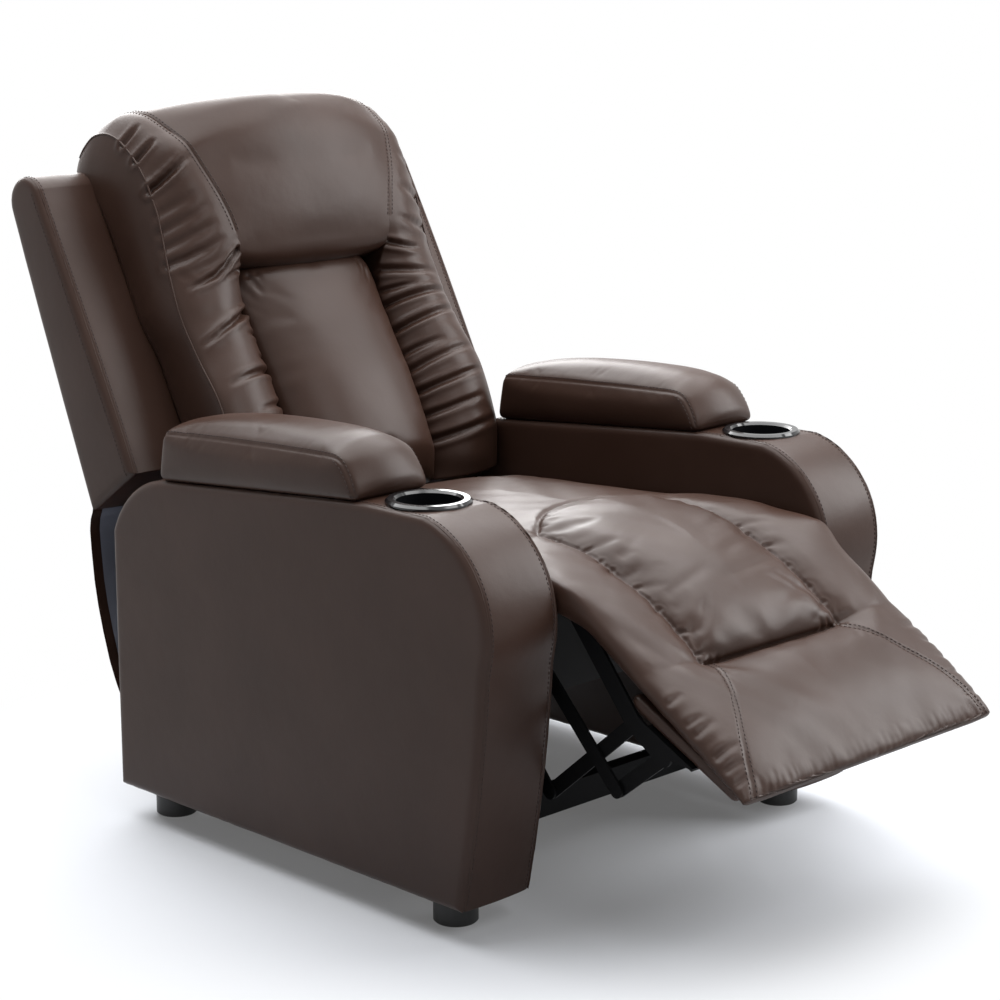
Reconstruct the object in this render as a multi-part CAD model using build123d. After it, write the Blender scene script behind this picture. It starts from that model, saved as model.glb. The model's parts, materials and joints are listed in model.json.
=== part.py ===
from build123d import *
import os
from math import atan2, cos, degrees, hypot, radians, sin

# Push-back recliner, in millimetres, stored as photographed: back a little down, leg rest half out.
# The chair faces -Y and +Z is up. Right and left are the sitter's own, so the right arm is at -X.
# Side views are (y, z) pairs with the floor at z = 0, and the finished set is centred on its box.

# Arms
WIDTH = 800.0
ARM_WIDTH = 132.0
ARM_BOTTOM_Z = 47.0
ARM_TOP_Z = 554.0
ARM_REAR_Y = 360.0
ARM_TOE_Y = -358.0
ARM_NOSE = (-401.0, 370.0)
ARM_BROW = (-376.0, 503.0)
ARM_SHIN = (-387.0, 220.0)
ARM_FLAT = (-290.0, -175.0)
ARM_SLOPE_END = (250.0, 518.0)
ARM_SHOULDER = (325.0, 482.0)
ARM_SHOULDER_Z = 430.0
PADDING = 14.0
BOARD = 22.0
BATTEN_Z = (302.0, 400.0)
SKIN_GAP = 0.3
OVERCUT = 1.0

# Arm pads: rear and front ends, the lean of those ends, and heights above the arm
PAD_REAR_Y = 249.0
PAD_FRONT_Y = -169.0
PAD_REAR_LEAN = -13.0
PAD_FRONT_LEAN = 29.0
PAD_SIDE = 68.0
PAD_CROWN = 94.0
PAD_END_SIDE = 58.0
PAD_END_CROWN = 76.0

# Cup wells and feet
CUP_Y = -236.0
CUP_FLANGE_R = 56.5
CUP_WELL_R = 45.0
CUP_FLOOR_R = 42.0
CUP_DEPTH = 80.0
CUP_WALL = 2.5
CUP_RIM = 6.5
FOOT_R = 30.0
FOOT_FRONT_Y = -283.0
FOOT_REAR_Y = 312.0
FOOT_STUD_R = 5.0

# Steel thicknesses, fits and gaps
RAIL_STEEL = 5.5
PLATE_STEEL = 5.0
LINK_STEEL = 4.0
GLIDE_GAP = 5.2
PLATE_GAP = 2.0
LINK_GAP = 1.0
FRAME_GAP = 3.0
PIN_R = 5.0
AXLE_R = 6.0
RUNNING = 0.05
LOOSE = 0.4
HEAD_R = 8.5
HEAD_T = 1.6
HEAD_GAP = 0.15
LINK_WIDTH = 20.0
EYE_WIDTH = 26.0
BOLT_R = 4.0
BOLT_HOLE = 0.1

# Leg rest: knee hinge, the two pairs of pivots on its bracket, and where its links meet them
KNEE = (-400.0, 445.0)
LEG_SLOPE = 32.4
LEG_LENGTH = 366.0
TOE_PIVOT = (-566.0, 270.0)
TOE_ELBOW = (-488.0, 207.0)
HEEL_PIVOT = (-516.0, 303.0)
HEEL_ELBOW = (-371.0, 177.0)
FOOTBOARD_REAR = (-508.0, 332.0)
FOOTBOARD_FRONT = (-682.0, 243.2)
FOOTBOARD_T = 20.0
FLANGE_REACH = (40.0, 125.0)
FLANGE_DEPTH = 36.0

# Seat frame, springs and cushion
SEAT_FRONT_Y = -282.0
SEAT_REAR_Y = 190.0
SEAT_RAIL_Z = (335.0, 395.0)
SEAT_RAIL_T = 24.0
SEAT_FRONT_LOW_Z = 272.0
WIRE_R = 1.9
WIRE_GAP = 0.2
SEAT_SPRINGS = 5
SEAT_SPRING_RUNS = 19
SPRING_HALF = 24.0
SEAT_CREST_Y = -215.0
SEAT_BACK_Y = 140.0
LIP = 3.0
KNEE_WRAP = 86.0

# Across the width: share of the half-width, radius of the knee roll, seat heights at the crest, towards
# the knee and towards the back, and leg pad fullness at its panel, its cross seam and its front
BODY_LINES = (
    (0.0, 26.0, 493.0, 499.0, 484.0, 24.0, 5.0, 20.0),
    (0.5, 12.0, 478.0, 472.0, 472.0, 6.0, 4.0, 18.0),
    (0.76, 14.0, 474.0, 473.0, 464.0, 21.0, 18.0, 20.0),
    (1.0, 8.0, 462.0, 462.0, 454.0, 9.0, 8.0, 9.0),
)
SEAT_REAR_SINK = 25.0
SEAT_KNEE_VIA = -310.0
SEAT_MID_VIA = -40.0
LEG_BASE = 10.0
LEG_SEAM = 159.0
LEG_HEEL = 60.0
LEG_TIP_ROUND = 13.0

# Recline hinge, glide and drive stud
RECLINE = (240.0, 360.0)
RECLINE_PIN_R = 8.0
DRIVE_ARM = 80.0
DRIVE_STUD_R = 6.0
DRIVE_SLOT = (74.0, 94.0)
DRIVE_SLOT_R = 10.5
GLIDE_Z = 345.0
GLIDE_Y = (-110.0, 110.0)
GLIDE_STUD_R = 6.0
ROLLER_R = 10.0
ROLLER_GAP = 0.2
GLIDE_FORWARD = 40.0
GLIDE_BACK = 22.0
BASE_RAIL_Y = (-300.0, 300.0)
BASE_RAIL_Z = (308.0, 392.0)
RAIL_BOLT_Y = (-270.0, 0.0, 285.0)
PLATE_BOLT_Y = (-200.0, -30.0, 150.0)
CROSS_RAIL_Z = (80.0, 118.0)
CROSS_RAIL_T = 24.0
CROSS_RAIL_WALL = 2.0
FRONT_CROSS_Y = -245.0

# Back, in its own frame: z runs up the back, -y out of its front, from the foot of the wings
BACK_LEAN = 28.3
WING_FOOT = (350.0, 512.0)
WING_LENGTH = 476.0
WING_HALF = 370.0
WING_TOP_T = 65.0
WING_FOOT_T = 128.0
WING_DROP = 18.0
POST_BOTTOM = -150.0
POST_T = 40.0
POST_W = 24.0
RAIL_H = 45.0
TOP_RAIL_DROP = 56.0
LOW_RAIL_AT = -105.0
WEBS = 5
WEB_W = 50.0
WEB_T = 1.6
WEB_GAP = 0.2
WEB_FROM = -40.0
PANEL_T = 8.0
BACK_BOLT_AT = (-30.0, -75.0)
BACK_PLATE_W = 44.0
CAP_RISE = 48.0
CAP_DEPTH = 62.0
CAP_INSET = 100.0
LUMBAR_HALF = 133.0
CHANNEL = 2.0

# Height up the back as a share of the wing's length, then the head cushion's half-width, side and crown
HEAD_LINES = (
    (0.521, 146.0, 92.0, 106.0),
    (0.599, 151.0, 120.0, 142.0),
    (0.714, 161.0, 138.0, 162.0),
    (0.851, 179.0, 150.0, 177.0),
    (0.966, 199.0, 152.0, 187.0),
    (1.050, 211.0, 132.0, 176.0),
    (1.097, 213.0, 92.0, 134.0),
)
# The same height, then the lumbar cushion's side and crown
LUMBAR_LINES = (
    (-0.235, 84.0, 96.0),
    (-0.105, 110.0, 125.0),
    (0.126, 106.0, 121.0),
    (0.336, 101.0, 117.0),
    (0.462, 90.0, 106.0),
    (0.515, 66.0, 78.0),
)
# The same height, then a side bolster's inner and outer edge, side and crown
BOLSTER_LINES = (
    (-0.235, LUMBAR_HALF, 256.0, 74.0, 86.0),
    (-0.063, LUMBAR_HALF, 261.0, 90.0, 114.0),
    (0.168, LUMBAR_HALF, 262.0, 92.0, 120.0),
    (0.357, LUMBAR_HALF + 2 * CHANNEL, 263.0, 90.0, 122.0),
    (0.521, 146.0, 272.0, 100.0, 130.0),
    (0.714, 161.0, 278.0, 126.0, 150.0),
    (0.903, 187.0, 277.0, 120.0, 146.0),
    (1.040, 210.0, 272.0, 84.0, 106.0),
    (1.092, 213.0, 266.0, 48.0, 62.0),
)

# Flexible panel behind the seat
SKIRT_T = 3.0
SKIRT_HALF = 352.0
SKIRT_HEM_Z = 58.0
SKIRT_HOLD_Z = 112.0
SKIRT_BULGE = (449.0, 310.0)

# Places worked out from the sizes above, from the arm inwards
ARM_INNER = WIDTH / 2 - ARM_WIDTH
ARM_MID = WIDTH / 2 - ARM_WIDTH / 2
RAIL_OUT = ARM_INNER - SKIN_GAP
RAIL_IN = RAIL_OUT - RAIL_STEEL
PLATE_OUT = RAIL_IN - GLIDE_GAP
PLATE_IN = PLATE_OUT - PLATE_STEEL
LINK_OUT = PLATE_IN - PLATE_GAP
LINK_IN = LINK_OUT - LINK_STEEL
COUPLER_OUT = LINK_IN - LINK_GAP
COUPLER_IN = COUPLER_OUT - LINK_STEEL
FRAME_HALF = COUPLER_IN - FRAME_GAP
CUSHION_HALF = PLATE_IN - 2 * SKIN_GAP
NOTCH_HALF = LINK_IN - HEAD_GAP - HEAD_T - SKIN_GAP
POST_OUT = LINK_IN - SKIN_GAP
TOE_SWING = (KNEE[0] + TOE_ELBOW[0] - TOE_PIVOT[0], KNEE[1] + TOE_ELBOW[1] - TOE_PIVOT[1])
HEEL_SWING = (KNEE[0] + HEEL_ELBOW[0] - HEEL_PIVOT[0], KNEE[1] + HEEL_ELBOW[1] - HEEL_PIVOT[1])
DRIVE = (RECLINE[0], RECLINE[1] - DRIVE_ARM)
SEAT_BASE_Z = SEAT_RAIL_Z[1] + WIRE_GAP + 2 * WIRE_R + SKIN_GAP
POST_FRONT = WEB_GAP + WEB_T + SKIN_GAP
TOP_RAIL_AT = WING_LENGTH - TOP_RAIL_DROP
WEB_STEP = (TOP_RAIL_AT - WEB_FROM) / WEBS
CAP_TOP = WING_LENGTH + CAP_RISE
CAP_HALF = WING_HALF - CAP_INSET
BACK_PLACE = Pos(0, *WING_FOOT) * Rot(-BACK_LEAN, 0, 0)
LEG_PLACE = Pos(0, *KNEE) * Rot(LEG_SLOPE, 0, 0)

nodes = {}


def add(name, solid):
    nodes[name] = solid


def add_pair(name, left):
    """Keeps a piece drawn on the sitter's left, and its mirror image on the right."""
    add("left_" + name, left)
    add("right_" + name, mirror(left, about=Plane.YZ))


def both(left):
    """One node of like pieces: those on the left and their mirror images."""
    return Compound(left + [mirror(piece, about=Plane.YZ) for piece in left])


def across(outline, x0, x1):
    """Solid of a side-view outline between two distances from the middle."""
    return extrude(Plane.YZ.offset(x0) * outline, amount=x1 - x0)


def rod(point, radius, x0, x1):
    return across(Pos(*point) * Circle(radius), x0, x1)


def strip(p, q, width):
    """Side view of a flat bar with round ends."""
    length = hypot(q[0] - p[0], q[1] - p[1])
    turn = degrees(atan2(q[1] - p[1], q[0] - p[0]))
    middle = ((p[0] + q[0]) / 2, (p[1] + q[1]) / 2)
    return Pos(*middle) * Rot(0, 0, turn) * SlotCenterToCenter(length, width)


def block(x, y, z):
    """Box between the pairs of limits x, y and z."""
    sizes = [high - low for low, high in (x, y, z)]
    middle = [(low + high) / 2 for low, high in (x, y, z)]
    return Pos(*middle) * Box(*sizes)


def rivet(point, x0, x1, radius=PIN_R):
    """Headed pin through the plates between x0 and x1."""
    shank = rod(point, radius, x0 - HEAD_GAP, x1 + HEAD_GAP)
    inner = rod(point, HEAD_R, x0 - HEAD_GAP - HEAD_T, x0 - HEAD_GAP)
    outer = rod(point, HEAD_R, x1 + HEAD_GAP, x1 + HEAD_GAP + HEAD_T)
    return shank + inner + outer


def pillow(mid, half, base, side, crown):
    """Cushion cross-section: flat base, bowed sides drawn in at both seams, crowned top."""
    foot = half - abs(side - base) / 12
    belly = (base + side) / 2
    a, b, c, d = (mid - foot, base), (mid + foot, base), (mid + foot, side), (mid - foot, side)
    return make_face([
        Line(a, b),
        ThreePointArc(b, (mid + half, belly), c),
        ThreePointArc(c, (mid, crown), d),
        ThreePointArc(d, (mid - half, belly), a),
    ])


# Arms

def arm_outline():
    toe = (ARM_TOE_Y, ARM_BOTTOM_Z)
    heel = (ARM_REAR_Y, ARM_BOTTOM_Z)
    shoulder = (ARM_REAR_Y, ARM_SHOULDER_Z)
    brow = (ARM_FLAT[0], ARM_TOP_Z)
    flat = (ARM_FLAT[1], ARM_TOP_Z)
    return make_face([
        ThreePointArc(toe, ARM_SHIN, ARM_NOSE),
        ThreePointArc(ARM_NOSE, ARM_BROW, brow),
        Line(brow, flat),
        Line(flat, ARM_SLOPE_END),
        ThreePointArc(ARM_SLOPE_END, ARM_SHOULDER, shoulder),
        Line(shoulder, heel),
        Line(heel, toe),
    ])


def arm_top(y):
    """Height of the arm under its pad."""
    share = (y - ARM_FLAT[1]) / (ARM_SLOPE_END[0] - ARM_FLAT[1])
    return ARM_TOP_Z + min(max(share, 0), 1) * (ARM_SLOPE_END[1] - ARM_TOP_Z)


def upright(x, y, low, high, radius):
    return Pos(x, y, (low + high) / 2) * Cylinder(radius, high - low)


def arm_holes():
    """What the cup well, the foot studs and the rail bolts need out of an arm."""
    well_bottom = ARM_TOP_Z - CUP_DEPTH - CUP_WALL
    holes = upright(ARM_MID, CUP_Y, well_bottom, ARM_TOP_Z + OVERCUT, CUP_WELL_R + SKIN_GAP)
    stud_top = ARM_BOTTOM_Z + PADDING + BOARD
    for y in (FOOT_FRONT_Y, FOOT_REAR_Y):
        holes += upright(ARM_MID, y, ARM_BOTTOM_Z - OVERCUT, stud_top + OVERCUT, FOOT_STUD_R + BOLT_HOLE)
    bolt_end = ARM_INNER + PADDING + BOARD
    for y in RAIL_BOLT_Y:
        holes += rod((y, GLIDE_Z), BOLT_R + BOLT_HOLE, ARM_INNER - OVERCUT, bolt_end + OVERCUT)
    return holes


def make_arms():
    outline = arm_outline()
    cavity = offset(outline, -PADDING)
    frame = offset(outline, -PADDING - SKIN_GAP)
    x0, x1 = ARM_INNER + PADDING, WIDTH / 2 - PADDING
    holes = arm_holes()
    add_pair("arm_cover", across(outline, ARM_INNER, WIDTH / 2) - across(cavity, x0, x1) - holes)
    hoop = frame - offset(frame, -BOARD)
    x0, x1 = x0 + SKIN_GAP, x1 - SKIN_GAP
    rest = (ARM_TOE_Y - PADDING, ARM_REAR_Y - PADDING - BOARD / 2)
    batten = block((x0, x0 + BOARD), rest, BATTEN_Z)
    add_pair("arm_frame", across(hoop, x0, x1) + batten - holes)


def pad_section(y, lean, side, crown):
    plane = Plane(
        origin=(ARM_MID, y, arm_top(y) + SKIN_GAP),
        x_dir=(1, 0, 0),
        z_dir=(0, -cos(radians(lean)), sin(radians(lean))),
    )
    return plane * pillow(0, ARM_WIDTH / 2, 0, side, crown)


def make_arm_pads():
    span = PAD_REAR_Y - PAD_FRONT_Y
    pad = loft([
        pad_section(PAD_REAR_Y, PAD_REAR_LEAN, PAD_SIDE, PAD_SIDE + PAD_END_CROWN - PAD_END_SIDE),
        pad_section(PAD_REAR_Y - span / 3, 0, PAD_SIDE, PAD_CROWN),
        pad_section(PAD_REAR_Y - span * 2 / 3, 0, PAD_SIDE, PAD_CROWN),
        pad_section(PAD_FRONT_Y, PAD_FRONT_LEAN, PAD_END_SIDE, PAD_END_CROWN),
    ])
    add_pair("arm_pad", pad)


def make_cups():
    seat = ARM_TOP_Z + SKIN_GAP
    floor = ARM_TOP_Z - CUP_DEPTH
    inner = CUP_WELL_R - CUP_WALL
    half = make_face(Polyline(
        (0, floor), (CUP_FLOOR_R, floor), (CUP_WELL_R, seat), (CUP_FLANGE_R, seat),
        (CUP_FLANGE_R, seat + CUP_RIM / 2), (CUP_FLANGE_R - CUP_RIM / 2, seat + CUP_RIM),
        (inner + CUP_RIM / 2, seat + CUP_RIM), (inner, seat + CUP_RIM / 2),
        (CUP_FLOOR_R - CUP_WALL, floor + CUP_WALL), (0, floor + CUP_WALL), close=True,
    ))
    add_pair("cup_holder", Pos(ARM_MID, CUP_Y, 0) * revolve(Plane.XZ * half, axis=Axis.Z))


def make_feet():
    top = ARM_BOTTOM_Z - WIRE_GAP
    stud_top = ARM_BOTTOM_Z + PADDING + BOARD
    for name, y in (("front_foot", FOOT_FRONT_Y), ("rear_foot", FOOT_REAR_Y)):
        foot = upright(ARM_MID, y, 0, top, FOOT_R)
        foot = chamfer(foot.edges().group_by(Axis.Z)[0], FOOT_R / 15)
        add_pair(name, foot + upright(ARM_MID, y, top, stud_top, FOOT_STUD_R))


# Base under the seat

def cross_rail(front):
    limits = (front, front + CROSS_RAIL_T)
    outer = block((-RAIL_OUT, RAIL_OUT), limits, CROSS_RAIL_Z)
    inner_y = (limits[0] + CROSS_RAIL_WALL, limits[1] - CROSS_RAIL_WALL)
    inner_z = (CROSS_RAIL_Z[0] + CROSS_RAIL_WALL, CROSS_RAIL_Z[1] - CROSS_RAIL_WALL)
    return outer - block((-RAIL_OUT, RAIL_OUT), inner_y, inner_z)


def glide_slot(y):
    reach = ROLLER_R + ROLLER_GAP
    return strip((y - GLIDE_FORWARD, GLIDE_Z), (y + GLIDE_BACK, GLIDE_Z), 2 * reach)


def base_rail():
    (y0, y1), (z0, z1) = BASE_RAIL_Y, BASE_RAIL_Z
    outline = Pos((y0 + y1) / 2, (z0 + z1) / 2) * RectangleRounded(y1 - y0, z1 - z0, PLATE_STEEL * 2)
    for y in GLIDE_Y:
        outline -= glide_slot(y)
    for y in RAIL_BOLT_Y:
        outline -= Pos(y, GLIDE_Z) * Circle(BOLT_R + BOLT_HOLE)
    outline -= Pos(*RECLINE) * Circle(RECLINE_PIN_R + RUNNING)
    return across(outline, RAIL_IN, RAIL_OUT)


def rail_bolt(y):
    point = (y, GLIDE_Z)
    head = rod(point, HEAD_R, RAIL_IN - HEAD_GAP - 2 * HEAD_T, RAIL_IN - HEAD_GAP)
    return head + rod(point, BOLT_R, RAIL_IN - HEAD_GAP, ARM_INNER + PADDING + BOARD)


def recline_pin():
    shank = rod(RECLINE, RECLINE_PIN_R, LINK_IN - HEAD_GAP, RAIL_OUT - HEAD_GAP)
    head_r = RECLINE_PIN_R * 1.6
    collar = rod(RECLINE, head_r, LINK_OUT + HEAD_GAP, RAIL_IN - HEAD_GAP)
    return shank + collar + rod(RECLINE, head_r, LINK_IN - HEAD_GAP - HEAD_T, LINK_IN - HEAD_GAP)


def make_base():
    add("front_cross_rail", cross_rail(FRONT_CROSS_Y))
    add("rear_cross_rail", cross_rail(ARM_REAR_Y - SKIN_GAP - CROSS_RAIL_T))
    add_pair("base_rail", base_rail())
    add("rail_bolts", both([rail_bolt(y) for y in RAIL_BOLT_Y]))
    add("recline_pins", both([recline_pin()]))


def back_point(depth, height):
    """Side-view place of a point on the back: depth behind its front face, height up it."""
    lean = radians(BACK_LEAN)
    y = WING_FOOT[0] + depth * cos(lean) + height * sin(lean)
    return (y, WING_FOOT[1] - depth * sin(lean) + height * cos(lean))


def wing_bottom(depth):
    """Height of the wing's underside, which falls towards its rear."""
    return -WING_DROP * depth / WING_FOOT_T


def make_skirt():
    """Leather panel that closes the chair behind the seat, from the arms up to the back."""
    inside = ARM_REAR_Y + SKIN_GAP
    outside = inside + SKIRT_T
    depths = (WING_FOOT_T - SKIRT_T, WING_FOOT_T)
    top, top_rear = [back_point(depth, wing_bottom(depth) - 2 * SKIN_GAP) for depth in depths]
    bulge_rear = (SKIRT_BULGE[0] + SKIRT_T, SKIRT_BULGE[1])
    hem = make_face([
        Line((inside, SKIRT_HEM_Z), (inside, SKIRT_HOLD_Z)),
        ThreePointArc((inside, SKIRT_HOLD_Z), SKIRT_BULGE, top),
        Line(top, top_rear),
        ThreePointArc(top_rear, bulge_rear, (outside, SKIRT_HOLD_Z)),
        Line((outside, SKIRT_HOLD_Z), (outside, SKIRT_HEM_Z)),
        Line((outside, SKIRT_HEM_Z), (inside, SKIRT_HEM_Z)),
    ])
    add("rear_skirt", across(hem, -SKIRT_HALF, SKIRT_HALF))


# Seat

def sinuous_wire(half, pitch, runs):
    """Zigzag spring wire lying in the XY plane, with straight runs along X and half-circle turns."""
    edges = []
    for run in range(runs):
        side = 1 if run % 2 == 0 else -1
        start, end = (-side * half, run * pitch), (side * half, run * pitch)
        edges.append(Line(start, end))
        if run < runs - 1:
            bulge = (side * (half + pitch / 2), (run + 0.5) * pitch)
            edges.append(ThreePointArc(end, bulge, (side * half, (run + 1) * pitch)))
    path = Wire(edges)
    return sweep(Plane(origin=path @ 0, z_dir=path % 0) * Circle(WIRE_R), path=path)


def seat_wire():
    pitch = (SEAT_REAR_Y - SEAT_FRONT_Y - SEAT_RAIL_T) / (SEAT_SPRING_RUNS - 1)
    wire = sinuous_wire(SPRING_HALF, pitch, SEAT_SPRING_RUNS)
    print("seat spring, least gap between its runs: %.1f mm" % (pitch - 2 * WIRE_R))
    z = SEAT_RAIL_Z[1] + WIRE_GAP + WIRE_R
    return Pos(0, SEAT_FRONT_Y + SEAT_RAIL_T / 2, z) * wire


def seat_bolt_hole(y):
    return rod((y, GLIDE_Z), BOLT_R + BOLT_HOLE, FRAME_HALF - SEAT_RAIL_T - OVERCUT, PLATE_OUT + OVERCUT)


def seat_bolt(y):
    """Shouldered bolt that holds a side plate off the wooden rail."""
    point = (y, GLIDE_Z)
    head = rod(point, HEAD_R, PLATE_OUT + HEAD_GAP, PLATE_OUT + HEAD_GAP + HEAD_T)
    shoulder = rod(point, HEAD_R, FRAME_HALF + HEAD_GAP, PLATE_IN - HEAD_GAP)
    return head + shoulder + rod(point, BOLT_R, FRAME_HALF - SEAT_RAIL_T, PLATE_OUT + HEAD_GAP)


def make_seat_frame():
    front = (SEAT_FRONT_Y, SEAT_FRONT_Y + SEAT_RAIL_T)
    rear = (SEAT_REAR_Y - SEAT_RAIL_T, SEAT_REAR_Y)
    full = (-FRAME_HALF, FRAME_HALF)
    add("seat_front_rail", block(full, front, (SEAT_FRONT_LOW_Z, SEAT_RAIL_Z[1])))
    add("seat_rear_rail", block(full, rear, SEAT_RAIL_Z))
    side = block((FRAME_HALF - SEAT_RAIL_T, FRAME_HALF), (front[1], rear[0]), SEAT_RAIL_Z)
    for y in PLATE_BOLT_Y:
        side -= seat_bolt_hole(y)
    add_pair("seat_side_rail", side)
    wire = seat_wire()
    step = 2 * (FRAME_HALF - SEAT_RAIL_T - SPRING_HALF) / SEAT_SPRINGS
    middle = (SEAT_SPRINGS - 1) / 2
    add("seat_springs", Compound([Pos((i - middle) * step, 0, 0) * wire for i in range(SEAT_SPRINGS)]))
    add("plate_bolts", both([seat_bolt(y) for y in PLATE_BOLT_Y]))


def side_plate():
    y0, y1 = SEAT_FRONT_Y, SEAT_REAR_Y
    bar_z = (SEAT_RAIL_Z[0] + GLIDE_Z) / 2 - LINK_WIDTH / 2
    outline = Pos((y0 + y1) / 2, GLIDE_Z) * RectangleRounded(y1 - y0, 2 * (GLIDE_Z - bar_z), PLATE_STEEL)
    outline += strip((y0 + LINK_WIDTH, GLIDE_Z), TOE_SWING, 2 * LINK_WIDTH)
    outline += strip(TOE_SWING, KNEE, EYE_WIDTH)
    outline += strip((HEEL_SWING[0], GLIDE_Z), HEEL_SWING, EYE_WIDTH)
    outline += strip((y1 - 2 * LINK_WIDTH, GLIDE_Z), DRIVE, EYE_WIDTH)
    for point in (TOE_SWING, HEEL_SWING):
        outline -= Pos(*point) * Circle(PIN_R + RUNNING)
    outline -= Pos(*KNEE) * Circle(AXLE_R + RUNNING)
    for y in PLATE_BOLT_Y:
        outline -= Pos(y, GLIDE_Z) * Circle(BOLT_R + BOLT_HOLE)
    plate = across(outline, PLATE_IN, PLATE_OUT)
    for y in GLIDE_Y:
        plate += rod((y, GLIDE_Z), GLIDE_STUD_R, PLATE_OUT - OVERCUT, RAIL_OUT - 2 * SKIN_GAP)
    return plate + rod(DRIVE, DRIVE_STUD_R, LINK_IN - SKIN_GAP, PLATE_IN + OVERCUT)


def roller(y):
    ring = Pos(y, GLIDE_Z) * (Circle(ROLLER_R) - Circle(GLIDE_STUD_R + RUNNING))
    return across(ring, RAIL_IN + SKIN_GAP, RAIL_OUT - 2 * SKIN_GAP)


def seat_section(line):
    _, radius, crest, knee_via, mid_via = line[:5]
    reach = radius + SKIN_GAP
    low = (KNEE[0] + reach, KNEE[1])
    half, full = radians(KNEE_WRAP / 2), radians(KNEE_WRAP)
    inside = (KNEE[0] + reach * cos(half), KNEE[1] + reach * sin(half))
    lip = (KNEE[0] + reach * cos(full), KNEE[1] + reach * sin(full))
    lip_top = (lip[0], lip[1] + LIP)
    top = (SEAT_CREST_Y, crest)
    back = (SEAT_BACK_Y, crest - SEAT_REAR_SINK)
    heel = (SEAT_REAR_Y, SEAT_BASE_Z)
    drop = (SEAT_REAR_Y - (SEAT_REAR_Y - SEAT_BACK_Y) / 4, (back[1] * 2 + SEAT_BASE_Z) / 3)
    return make_face([
        Line(heel, (SEAT_FRONT_Y, SEAT_BASE_Z)),
        Line((SEAT_FRONT_Y, SEAT_BASE_Z), low),
        ThreePointArc(low, inside, lip),
        Line(lip, lip_top),
        ThreePointArc(lip_top, (SEAT_KNEE_VIA, knee_via), top),
        ThreePointArc(top, (SEAT_MID_VIA, mid_via), back),
        ThreePointArc(back, drop, heel),
    ])


def leg_section(line):
    """Side view of the leg pad about the knee: y is minus the distance out along the leg."""
    r = line[1]
    panel, seam, front = line[5:]
    tip = LEG_LENGTH - LEG_TIP_ROUND
    rise = front / 2
    return make_face([
        ThreePointArc((0, r), (r * cos(radians(45)), r * sin(radians(45))), (r, 0)),
        ThreePointArc((r, 0), (r * cos(radians(45)), -r * sin(radians(45))), (0, -r)),
        Line((0, -r), (-LEG_HEEL, -LEG_BASE)),
        Line((-LEG_HEEL, -LEG_BASE), (-tip, -LEG_BASE)),
        ThreePointArc((-tip, -LEG_BASE), (-LEG_LENGTH, (rise - LEG_BASE) / 2), (-tip, rise)),
        ThreePointArc((-tip, rise), (-(tip + LEG_SEAM) / 2, front), (-LEG_SEAM, seam)),
        ThreePointArc((-LEG_SEAM, seam), (-LEG_SEAM / 2, panel), (0, r)),
    ])


def whole_width(section):
    """Soft solid lofted over the width, alike on both sides of the middle."""
    right = [Plane.YZ.offset(-CUSHION_HALF * line[0]) * section(line) for line in reversed(BODY_LINES)]
    left = [Plane.YZ.offset(CUSHION_HALF * line[0]) * section(line) for line in BODY_LINES[1:]]
    return loft(right + left)


def make_seat():
    make_seat_frame()
    cushion = whole_width(seat_section)
    reach = EYE_WIDTH / 2 + LIP
    around = (KNEE[0] - reach, KNEE[0] + reach)
    notch = block((NOTCH_HALF, CUSHION_HALF + OVERCUT), around, (SEAT_RAIL_Z[1], ARM_TOP_Z))
    add("seat_cushion", cushion - notch - mirror(notch, about=Plane.YZ))
    add_pair("side_plate", side_plate())
    add("glide_rollers", both([roller(y) for y in GLIDE_Y]))
    pivots = [rivet(point, LINK_IN, PLATE_OUT) for point in (TOE_SWING, HEEL_SWING)]
    add("link_pivots", both(pivots))
    add("knee_pins", both([rivet(KNEE, LINK_IN, PLATE_OUT, AXLE_R)]))


# Leg rest and its links

def footboard_place():
    drop = FOOTBOARD_REAR[1] - FOOTBOARD_FRONT[1]
    slope = degrees(atan2(drop, FOOTBOARD_REAR[0] - FOOTBOARD_FRONT[0]))
    return Pos(0, *FOOTBOARD_REAR) * Rot(slope, 0, 0)


def footboard_length():
    return hypot(FOOTBOARD_FRONT[0] - FOOTBOARD_REAR[0], FOOTBOARD_FRONT[1] - FOOTBOARD_REAR[1])


def bracket_screw_spots():
    x = LINK_OUT - FLANGE_DEPTH / 2
    reach = FLANGE_REACH[1] - FLANGE_REACH[0]
    return [(x, -FLANGE_REACH[0] - reach * share) for share in (0.25, 0.75)]


def make_footboard():
    half = COUPLER_OUT - SKIN_GAP
    board = block((-half, half), (-footboard_length(), 0), (-FOOTBOARD_T / 2, FOOTBOARD_T / 2))
    board = fillet(board.edges().filter_by(Axis.X), FOOTBOARD_T * 0.4)
    for x, y in bracket_screw_spots():
        for side in (-1, 1):
            board -= upright(side * x, y, -FOOTBOARD_T, FOOTBOARD_T / 4, PIN_R / 2 + BOLT_HOLE)
    add("footboard", footboard_place() * board)


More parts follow.
